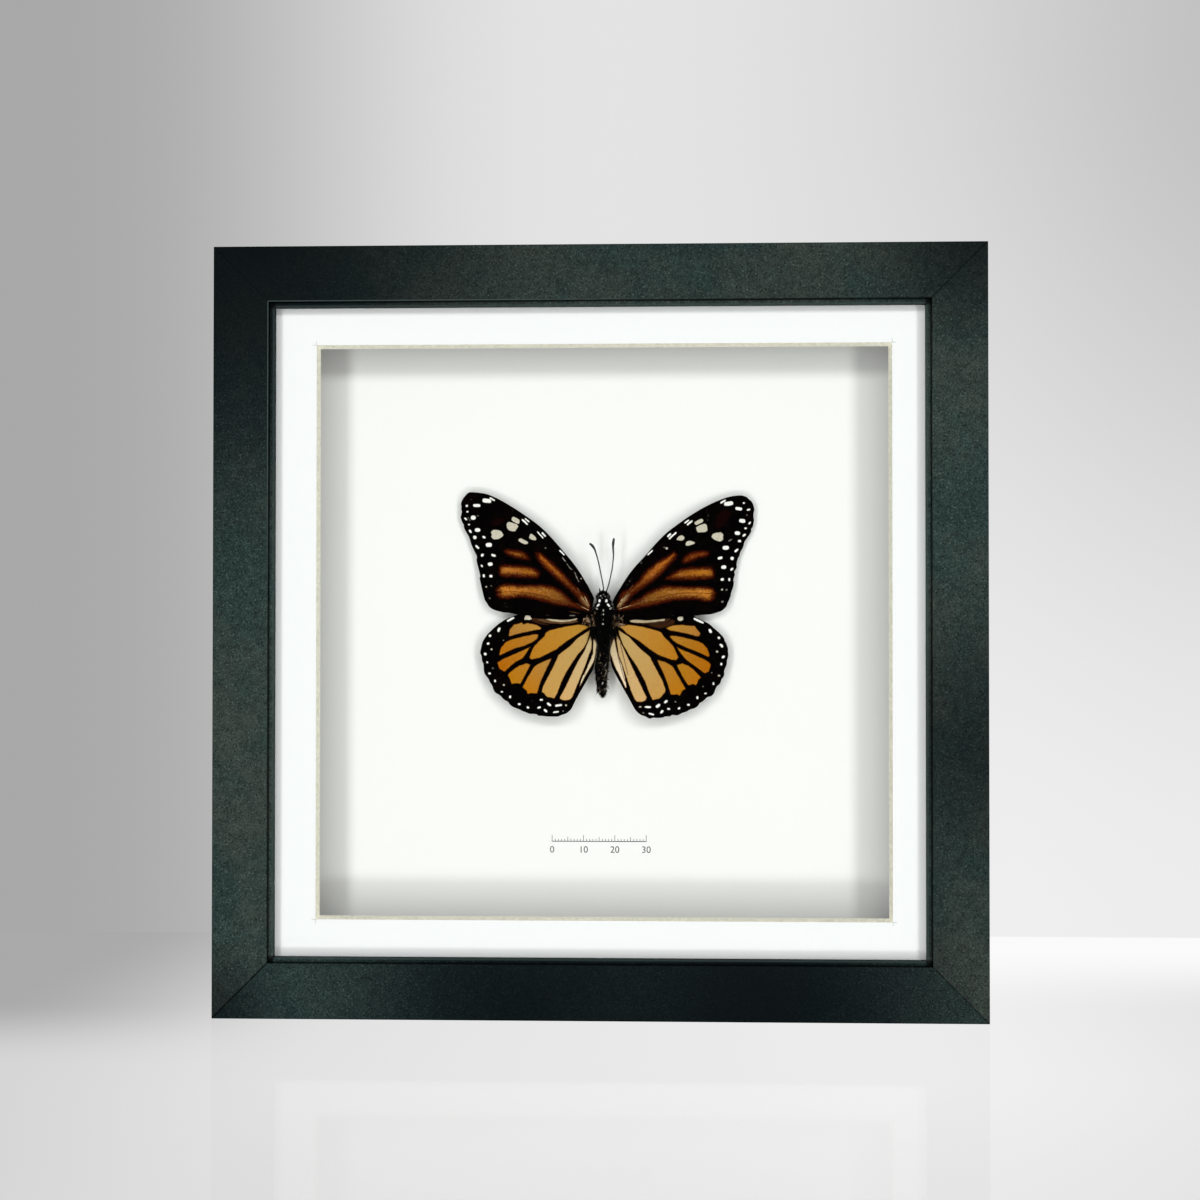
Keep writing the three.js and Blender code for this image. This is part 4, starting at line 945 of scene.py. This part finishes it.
# Right hindwing: the same cells, with one faint extra streak along the inner one.
wing("right_hindwing", HINDWING, {
    "root": trace(4.1, -5.4, 4.3, -3.8, 4.6, -2),
    "costa": trace(4.6, -2, 7.5, .2, 12.5, .8, 18, 1.2, 23.5, 1, 28.3, -.3, 29.15, -.75,
        31.5, -1.85, 32.95, -2.65),
    "margin": trace(12, -31.5, 12.8, -31.85, 13.9, -32.2, 14.85, -32.8, 16, -32.55, 17.4, -32.6,
        18.9, -32.5, 20, -32.1, 21.15, -32.15, 22.1, -31.65, 23.05, -31.8, 24.2, -31.6, 25, -31.1,
        25.95, -30.8, 26.75, -30.5, 27.6, -29.95, 28.7, -29.65, 29.5, -29.3, 30.2, -28.7,
        30.7, -27.9, 31.45, -27.5, 32.35, -26.75, 33.05, -26.1, 34.35, -25.7, 35.2, -24.75,
        35.55, -23.75, 36.1, -22.65, 37.1, -21.7, 37.55, -20.4, 38.35, -19.25, 38.4, -17.65,
        38.85, -16.6, 39.2, -15.6, 39.25, -14.5, 39.55, -13.6, 39.7, -12.8, 39.6, -11.8,
        39.55, -10.5, 39.25, -9.8, 39, -9, 38.55, -8.4, 38.4, -7.7, 37.85, -6.85, 37.15, -6.15,
        36.3, -5.3, 35, -4.2, 34.05, -3.3, 32.95, -2.65),
    "inner": trace(4.1, -5.4, 3.2, -7.6, 2.6, -9.5, 2.4, -11.5, 2.4, -13.6, 2.6, -15.3, 3.1, -16.85,
        4.05, -18.8, 5, -20.55, 6, -22.3, 7, -24.1, 7.95, -25.7, 8.75, -27.15, 9.55, -28.6,
        10.2, -29.75, 11, -30.7, 12, -31.5),
}, [
    (trace(20.05, -4.3, 20.95, -3.85, 22.35, -3.4, 25, -3.2, 28, -3.55, 29.1, -3.6, 29.8, -4.6,
        30.9, -6, 30.4, -6.85, 29.4, -6.8, 26.6, -6, 23.05, -5.3,
        21.25, -5.05), (180, 132, 48), (170, 115, 50)),
    (trace(21.15, -7, 21.65, -6.65, 23.75, -6.8, 28, -7.8, 30.1, -8.4, 31.5, -9.1, 33.05, -10.65,
        33.75, -12.8, 33.35, -13.4, 30.4, -11.95, 26.6, -10.5, 23.5, -9.1,
        22.35, -8.25), (172, 120, 38), (172, 102, 6)),
    (trace(23.35, -10.1, 24.5, -10.85, 28, -12.3, 31.95, -14.05, 33.35, -14.9, 34.2, -15.85,
        33.5, -18, 32.2, -18.55, 30.1, -17, 26.85, -14.6, 25.75, -13.6,
        24.2, -11.65), (176, 118, 29), (172, 100, 8)),
    (trace(23.45, -15.95, 24.35, -15.65, 25.3, -15.45, 27.1, -16.2, 28.85, -17.5, 31.1, -19.9,
        30.3, -20.55, 29.5, -22.4, 28.55, -21.9, 27.1, -22.45, 25.3, -19.75,
        23.7, -16.65), (173, 119, 29), (179, 109, 16)),
    (trace(17.2, -14.25, 19.85, -15, 22.1, -16.35, 24.35, -20.2, 26.2, -23.5, 25.3, -23.9,
        24.35, -25.7, 23.7, -25.2, 21.6, -25.35, 20.5, -21.8, 19.05, -18.1,
        18.1, -16.35), (176, 124, 47), (182, 115, 12)),
    (trace(5.15, -3.9, 6.45, -3.5, 8.25, -3.2, 12.9, -3.9, 17.25, -5.05, 18.55, -5.7, 19.2, -6.8,
        21.8, -9.4, 22.6, -10.5, 23.95, -13.6, 23.2, -14.4, 21.8, -14.3, 17.75, -12.85,
        14.7, -10.85, 11.15, -8.1, 7.6, -6, 6.45, -4.7), (186, 138, 61), (180, 117, 25)),
    (trace(5, -4.85, 8.25, -6.95, 11.8, -10.7, 15, -13.4, 16.6, -16.65, 18.85, -20.7, 19.85, -23.6,
        19.75, -24.55, 18.1, -26.5, 16.65, -26.8, 15.8, -27.05, 14.7, -24.7, 13.4, -21.15,
        10.95, -16.65, 8.55, -13.1, 6.45, -9.7, 5.15, -6.3), (189, 161, 103), (194, 146, 75)),
    (trace(4.35, -6.15, 6.15, -9.7, 7.9, -13.4, 9.85, -17.6, 11.8, -21.65, 13.1, -24.4,
        13.95, -26.05, 13.6, -27.1, 12.45, -27.65, 11, -27.55, 10.2, -26.85, 8.9, -23.95,
        7.8, -20.55, 6.5, -16.7, 5.05, -12.8, 4.35, -8.25), (192, 166, 117), (210, 170, 111)),
    (trace(3.55, -7.3, 2.9, -9.2, 2.25, -11.5, 2.6, -12.8, 3.8, -16.3, 5.8, -20.2, 7.3, -23.3,
        7.6, -23, 6.95, -19.25, 6.15, -16.3, 5.15, -13.6, 4.35, -10.7,
        3.85, -8.25), (183, 163, 123), (250, 228, 197)),
], [
    *dots(WHITE, 30.3, -1.95, 1.8, .38, -24, 34, -5.2, .75, .46, -60, 36.7, -7.35, .5, .48, 0,
        37.55, -9.8, .75, .43, -45, 38.1, -13.4, .6, .43, 35, 37.45, -15.65, .5, .35, 90,
        35, -21.8, .55, .35, 90, 32.5, -24.9, .5, .3, 15, 29.9, -26.25, .55, .37, 90,
        27.1, -28.5, .55, .37, 0, 24.15, -29.6, .5, .38, 45, 20.85, -29.8, .55, .38, -10,
        20, -27.5, .7, .38, 40, 18.75, -30.7, .7, .42, 50, 17.55, -28.8, .85, .47, 38,
        15.4, -31.4, .95, .33, -15, 14.3, -29.2, 1.1, .34, 0),
    *dots(CREAM, 36.15, -11.7, .42, .4, 0, 36.75, -19.3, .45, .34, 0, 11.9, -29.15, .5, .28, 0),
    *dots(GREY, 34.5, -18.35, .3, .28, 0, 31.75, -22.7, .3, .28, 0, 23, -27.55, .35, .32, 0,
        12.9, -31.05, .4, .28, 0),
], [
    (trace(23.5, -1.35, 23.9, -.7, 24.6, -.5, 25.3, -.7, 25.5, -1.4, 24.9, -2.1,
        24, -2), seen(206, 198, 178)),
    (trace(8.4, -1.9, 10.2, -1.5, 13.3, -1.8, 16.5, -1.6, 19.4, -1.3, 19.8, -1.6, 19.4, -2,
        16.5, -2.35, 13.3, -2.65, 10.2, -2.6, 8.8, -2.4), seen(190, 172, 142)),
    (trace(19.6, -1.2, 21.2, -1.1, 21.6, -1.5, 20.5, -2.2, 18.5, -2.8, 16, -3.1, 12.5, -3.1,
        9.6, -2.8, 10.2, -2.5, 13.3, -2.55, 16.5, -2.4, 19.5, -2.05), seen(58, 36, 22)),
    (trace(20.5, -2.3, 22, -1.5, 23, -2, 22.5, -3, 21, -3.6, 19.2, -4.2, 17.8, -4.4, 15.5, -3.8,
        13.9, -3.3, 15, -3, 18.5, -2.9), HAZE),
], [
    trace(5.5, -9, 8, -19),
    trace(4.1, -9.6, 5, -13.8, 7, -21),
])

# Body
# Head, thorax and abdomen: dried, black and furry, dotted with white on the head and shoulders.
# The thorax stands on a pin from behind, and its hair hides where the wings join.
RING_STEPS = 72
FLATNESS = 0.88


def body_section(name, slices, dashes, hidden):
    """A furry solid turned round its outline. A slice is height, middle, half width and depth."""
    table = np.array(slices, float)
    outline = smooth_line(table[:, [2, 0]])(np.linspace(0, 1, 90))
    outline[[0, -1], 0] = 0
    bm = bmesh.new()
    line = [bm.verts.new((max(r, 0), 0, z)) for r, z in outline]
    edges = [bm.edges.new(pair) for pair in zip(line, line[1:])]
    bmesh.ops.spin(bm, geom=line + edges, axis=(0, 0, 1), cent=(0, 0, 0), angle=2 * math.pi,
                   steps=RING_STEPS, use_merge=True)
    bmesh.ops.remove_doubles(bm, verts=bm.verts[:], dist=1e-5)
    bmesh.ops.recalc_face_normals(bm, faces=bm.faces[:])
    for v in bm.verts:
        x, y = (np.interp(v.co.z, table[:, 0], table[:, k]) for k in (1, 3))
        v.co = on_specimen(x + v.co.x, y + FLATNESS * v.co.y, v.co.z)
    made = piece(name + "_body", bm, [furry], hidden, 80)
    flat = [(v.co.x / MM - SPECIMEN[0], v.co.z / MM - SPECIMEN[1]) for v in made.data.vertices]
    paint_spots(made.data, np.array(flat), dashes)
    return made


coat = Finish("body_skin", Specular_IOR_Level=0.03, Roughness=0.9)
coat_fine = coat.noise(4200, 3)
coat_tone = coat.mix(coat.step(coat_fine, 0.55, 0.8), seen(1, 1, 1), seen(10, 8, 7))
coat_spot = coat.attribute("spot") + (coat_fine - 0.5) * 0.14
dotted = coat.step(coat_spot, -0.04, 0.1)
coat_tone = coat.mix(dotted, coat_tone, coat.attribute("spot_tone", "Color"))
furry = coat.feed(Base_Color=coat_tone, Normal=coat.bump(coat_fine, 0.0001))

DULL = seen(176, 174, 168)
THORAX_DOTS = [
    *dots(WHITE, -.93, 4.34, .54, .4, 90, 1.25, 4.34, .54, .42, 90, -1.35, 2.95, .62, .33, 40,
        1.93, 2.95, .64, .33, -48),
    *dots(DULL, -1.85, 1.88, .54, .25, -35, 2.55, 1.92, .5, .27, 45, .35, 1.32, .42, .24, 90,
        .35, .05, .32, .22, 90, -.55, 5.9, .26, .22, 0, -2.05, 4.3, .32, .28, 0,
        3.7, .3, .6, .22, -40),
    *dots(SILVER, .2, -3, .36, .26, 0),
    *dots(GREY, .3, -1.6, .3, .18, 90, .36, 6.3, .24, .21, 0, -.1, 5.2, .22, .2, 0,
        .9, 5.75, .22, .2, 0, -3.1, .15, .45, .2, 90),
    *dots(BUFF, -2.9, -4.25, .34, .28, 0),
    *dots(seen(200, 190, 178), 3.55, -4.15, .4, .32, 0),
]
ABDOMEN_DOTS = [
    *dots(GREY, .9, -16, .5, .16, 60, 1, -18.8, .4, .16, 80, -.1, -22, .3, .16, 10,
        .6, -23.5, .6, .16, 40),
    *dots(FAINT, .4, -16.9, .5, .14, 20, -.9, -20.2, .4, .14, 60, -.3, -23.8, .5, .14, 20,
        -1.2, -17.5, .5, .12, 50),
    *dots(DULL, .05, -21.6, .4, .2, 60),
]
sections = [
    body_section("head", [
        (4.3, .2, 0, 20), (4.4, .2, 1.2, 20), (4.9, .15, 1.85, 20), (5.7, .15, 2.1, 20),
        (6.4, .15, 1.85, 20), (7, .15, 1.2, 20), (7.3, .15, .6, 20), (7.4, .15, 0, 20),
    ], THORAX_DOTS, ["head"]),
    body_section("thorax", [
        (-8.2, .35, 0, 20.7), (-8, .35, 1.2, 20.7), (-7.2, .35, 2.1, 20.6), (-5, .35, 2.85, 20.5),
        (-2.5, .35, 3.25, 20.4), (0, .35, 3.2, 20.4), (2, .3, 2.8, 20.4), (3.6, .25, 2.35, 20.3),
        (4.8, .2, 1.9, 20.2), (5.3, .2, 1.2, 20.2), (5.4, .2, 0, 20.2),
    ], THORAX_DOTS, ["thorax"]),
    body_section("abdomen", [
        (-26, -.05, 0, 21.6), (-25.85, -.05, .35, 21.6), (-25.2, -.05, .9, 21.55),
        (-24.2, -.15, 1.25, 21.5), (-23.3, -.25, 1.4, 21.4), (-22.9, -.3, 1.5, 21.4),
        (-21.6, -.4, 1.62, 21.3), (-20.9, -.45, 1.72, 21.2), (-19.6, -.45, 1.8, 21.2),
        (-19, -.4, 1.88, 21.1), (-17.4, -.38, 2.02, 21.1), (-16.9, -.36, 2.1, 21),
        (-15.3, -.2, 2.03, 21), (-14.8, -.15, 2.08, 21), (-13, .05, 1.9, 20.9), (-12.4, .12, 1.88, 20.9),
        (-10, .3, 1.78, 20.8), (-7.6, .35, 1.7, 20.7), (-7, .35, .9, 20.7), (-6.9, .35, 0, 20.7),
    ], ABDOMEN_DOTS, ["abdomen"]),
]


# Two black eyes that bulge from the sides of the head.
gloss = Finish("compound_eye", Roughness=0.4, Specular_IOR_Level=0.25)
facets = gloss.node("TexVoronoi", {}, {"Vector": gloss.place, "Scale": 9000.0})
eye_skin = gloss.feed(Base_Color=gloss.mix(facets, seen(4, 3, 3), seen(16, 12, 10)),
                      Normal=gloss.bump(facets, 0.00002))
bm = bmesh.new()
for hand in (-1, 1):
    seat = Matrix.Translation(on_specimen(0.15 + hand * 1.5, 19.3, 5.6))
    bmesh.ops.create_uvsphere(bm, u_segments=32, v_segments=20, radius=0.8 * MM, matrix=seat)
piece("eyes", bm, [eye_skin], [], 80)


def tube(name, strands, thick, material, nodes=(), round_steps=0):
    """Thin tapering lines as one mesh. A strand is points in metres and a thickness at each."""
    curve = bpy.data.curves.new(name, "CURVE")
    curve.dimensions = "3D"
    curve.bevel_depth = thick * MM
    curve.bevel_resolution = round_steps
    curve.use_fill_caps = True
    for points, sizes in strands:
        line = curve.splines.new("POLY")
        line.points.add(len(points) - 1)
        for at, place, size in zip(line.points, points, sizes):
            at.co = (*place, 1)
            at.radius = size
    holder = bpy.data.objects.new(name, curve)
    bm = bmesh.new()
    bm.from_mesh(bpy.data.meshes.new_from_object(holder))
    bpy.data.objects.remove(holder)
    bmesh.ops.recalc_face_normals(bm, faces=bm.faces[:])
    piece(name, bm, [material], nodes, 80)


def fur_strand(root, way, long, sag):
    """A hair that leaves its root one way and curls back along the body."""
    bend = Vector((0, 0.25, -1)) * sag
    middle = root + way * long * 0.5 + bend * long * 0.15
    return [root, middle, root + way * long + bend * long * 0.6], [1, 0.75, 0.12]


def fur_finish(name, dark, light):
    fur = Finish(name, Specular_IOR_Level=0.05, Roughness=0.75)
    return fur.feed(Base_Color=fur.mix(fur.step(fur.noise(1100, 3), 0.44, 0.6), dark, light))


chance = random.Random(11)
dark_fur = fur_finish("dark_fur", seen(1, 1, 1), seen(10, 8, 7))
grizzled_fur = fur_finish("grizzled_fur", seen(24, 18, 14), seen(170, 154, 130))
tawny_fur = fur_finish("tawny_fur", seen(70, 40, 24), seen(226, 190, 148))


def coat_strands(made, amount, long, lean):
    """Hairs that start on a body section, off its white spots, and lean towards its tail."""
    mesh = made.data
    spot = mesh.attributes["spot"].data
    kept = [v for v in mesh.vertices if spot[v.index].value < -0.28 and v.normal.y < 0.35]
    for v in chance.choices(kept, k=amount):
        jitter = Vector([chance.uniform(-1, 1) for _ in range(3)])
        way = (v.normal * 0.8 + Vector((0, 0, lean)) + jitter * 0.5).normalized()
        root = v.co - v.normal * 0.1 * MM
        yield fur_strand(root, way, long * MM * chance.uniform(0.5, 1.2), 0.6)


def curl(x, y, z, long, turn, bend):
    """A curly hair that lies across the line of sight and bends round by so many degrees."""
    at = on_specimen(x, y, z)
    points = [at.copy()]
    for k in range(5):
        heading = math.radians(turn + bend * k / 4)
        way = Vector((math.cos(heading), chance.uniform(-0.25, 0.15), math.sin(heading)))
        at = at + way * long * MM / 5
        points.append(at.copy())
    return points, [0.8, 1, 1, 0.9, 0.6, 0.15]


head, thorax, abdomen = sections
strands = [*coat_strands(head, 260, 0.7, 0.3), *coat_strands(thorax, 2200, 1.15, -0.6),
           *coat_strands(abdomen, 1500, 0.6, -0.7)]
for _ in range(9):
    root = on_specimen(chance.uniform(-0.9, 1.2), chance.uniform(18.9, 20.6), 6.7)
    way = Vector((chance.uniform(-0.35, 0.35), chance.uniform(-0.3, 0.2), 1)).normalized()
    tip = root + way * chance.uniform(0.7, 1.1) * MM
    strands.append(([root, root + way * 0.5 * MM, tip], [1.8, 1.4, 0.2]))
tube("body_fur", strands, 0.045, dark_fur)

# Tufts at the tail and along the sides, and the three stiff points of the mouth parts.
TUFTS = ((-1.4, -23.2, 1.5, 215, 50), (-1.4, -23.6, 1.7, 238, 30), (-1.3, -23.9, 1.7, 252, -30),
         (-1.1, -24.1, 1.5, 262, 30), (1.2, -22.4, 1, -20, -50), (1.2, -22.9, 1.1, -50, 30),
         (1, -23.8, 1, -60, -20), (-2, -16.2, 1, 200, 60), (-2.1, -18, 0.8, 210, 50),
         (-1.9, -19.8, 0.8, 205, 40), (1.9, -14.4, 0.7, -30, 60), (1.6, -17.8, 0.7, -35, 50),
         (1.4, -20.4, 0.7, -30, 40))
strands = [curl(x, 21.2, z, long, turn, bend) for x, z, long, turn, bend in TUFTS]
tube("tail_tufts", strands, 0.13, dark_fur)
MOUTH = ((-0.7, 20, 6.3, 2.2, 97, 4), (-0.2, 20.1, 6.4, 1.5, 82, 10), (1, 20, 6.4, 2.1, 76, 4))
strands = [(curl(*mouth)[0], [1.3, 1.2, 1, 0.8, 0.5, 0.15]) for mouth in MOUTH]
tube("mouth_points", strands, 0.32, dark_fur)

# Pale curly hairs over the tail end, and tawny ones where the wings join.
strands = []
for _ in range(130):
    z = -24.6 + 13 * chance.random() ** 1.3
    share = chance.uniform(-0.95, 0.95)
    half = np.interp(z, [-25, -23.3, -20, -16, -12], [0.8, 1.45, 1.75, 2.05, 1.85])
    x = share * half - 0.2
    y = 21.1 - FLATNESS * half * math.sqrt(1 - share ** 2) - 0.12
    strands.append(curl(x, y, z, chance.uniform(0.3, 0.8), chance.uniform(0, 360),
                        chance.uniform(-110, 110)))
strands += [*coat_strands(abdomen, 60, 0.5, -0.7), *coat_strands(thorax, 40, 0.8, -0.6)]
tube("grey_hairs", strands, 0.05, grizzled_fur)

dark, tawny = [], []
for hand, root_x in ((-1, -2.7), (1, 3.5)):
    for _ in range(360):
        up = chance.uniform(-7, 2.4)
        root = on_specimen(root_x + hand * chance.uniform(-0.5, 0.5), chance.uniform(18.2, 19.4), up)
        way = Vector((hand * chance.uniform(0.4, 1.1), chance.uniform(-0.25, 0.1),
                      chance.uniform(-0.8, 0.3) + 0.06 * up)).normalized()
        dark.append(fur_strand(root, way, chance.uniform(0.7, 1.8) * MM, 0.3))
    for _ in range(48):
        out = chance.random() ** 1.3
        x = root_x + hand * (3.4 * out - 0.4)
        z = -1.7 + chance.uniform(-3, 1.8) * (1 - 0.65 * out)
        heading = (180 if hand < 0 else 0) + chance.uniform(-95, 95)
        tawny.append(curl(x, chance.uniform(18.1, 18.9), z, chance.uniform(0.7, 1.8), heading,
                          chance.choice((-1, 1)) * chance.uniform(70, 170)))
tube("wing_root_fur", dark, 0.045, dark_fur)
tube("wing_root_tawny", tawny, 0.042, tawny_fur)

# Antennae and legs
# Black, stiff and dry. Each antenna is a fine ringed stalk with a small club, bent as it dried.
# The four walking legs are folded under the body.
horn = Finish("dry_chitin", Roughness=0.42)
rings = horn.noise(1, 2, stretch=(500, 500, 4200))
chitin = horn.feed(Base_Color=horn.mix(rings, seen(4, 3, 3), seen(28, 22, 18)),
                   Normal=horn.bump(rings, 0.00004))

LIMBS = (
    ("left_antenna", 0.2, (1, 1, 1, 1, 1, 1, 1.15, 1.7, 2.2, 1.5), (
        (.2, 19.8, 7.2), (.3, 19.7, 8.4), (.1, 19.6, 9.7), (-.7, 19.4, 13.7), (-1.1, 19.3, 15.8),
        (-1.6, 19.2, 17.8), (-2.1, 19.1, 19.5), (-2.5, 19, 20.7), (-3.2, 19, 21.8), (-4.1, 19, 22.5))),
    ("right_antenna", 0.2, (1, 1, 1, 1, 1, 1, 1.15, 1.8, 2.3, 1.6), (
        (1, 19.8, 7), (1.4, 19.7, 7.9), (1.9, 19.6, 9.3), (2.7, 19.4, 12.8), (3.1, 19.3, 14.7),
        (3.3, 19.2, 16.8), (3.5, 19.1, 18.7), (3.3, 19, 21.8), (3.4, 19, 22.7), (3.6, 19, 24.1))),
    ("leg_front_left", 0.36, (1, .9, .6, .4), (
        (-1.1, 23.9, 2.4), (-2.7, 24.4, .6), (-2.3, 24.9, -2.6), (-1.3, 25.4, -5.6))),
    ("leg_front_right", 0.36, (1, .9, .6, .4), (
        (1.8, 23.9, 2.4), (3.4, 24.4, .6), (3, 24.9, -2.6), (2, 25.4, -5.6))),
    ("leg_rear_left", 0.36, (1, .9, .6, .4), (
        (-1.3, 23.7, -1.9), (-3.7, 23.9, -4), (-4, 24.6, -8), (-2.8, 25.3, -12))),
    ("leg_rear_right", 0.36, (1, .9, .6, .4), (
        (2, 23.7, -1.9), (4.4, 23.9, -4), (4.7, 24.6, -8), (3.5, 25.3, -12))),
)
for node, thick, sizes, points in LIMBS:
    route = [on_specimen(*point) for point in points]
    knots = np.linspace(0, 1, len(route))
    dense = np.linspace(0, 1, 40)
    bent = [Vector([np.interp(at, knots, [p[k] for p in route]) for k in range(3)]) for at in dense]
    for _ in range(3):
        eased_in = [(a + 2 * b + c) / 4 for a, b, c in zip(bent, bent[1:], bent[2:])]
        bent = [bent[0], *eased_in, bent[-1]]
    widths = np.interp(dense, knots, sizes)
    tube(node + "_dried", [(bent, widths)], thick, chitin, [node], 2)
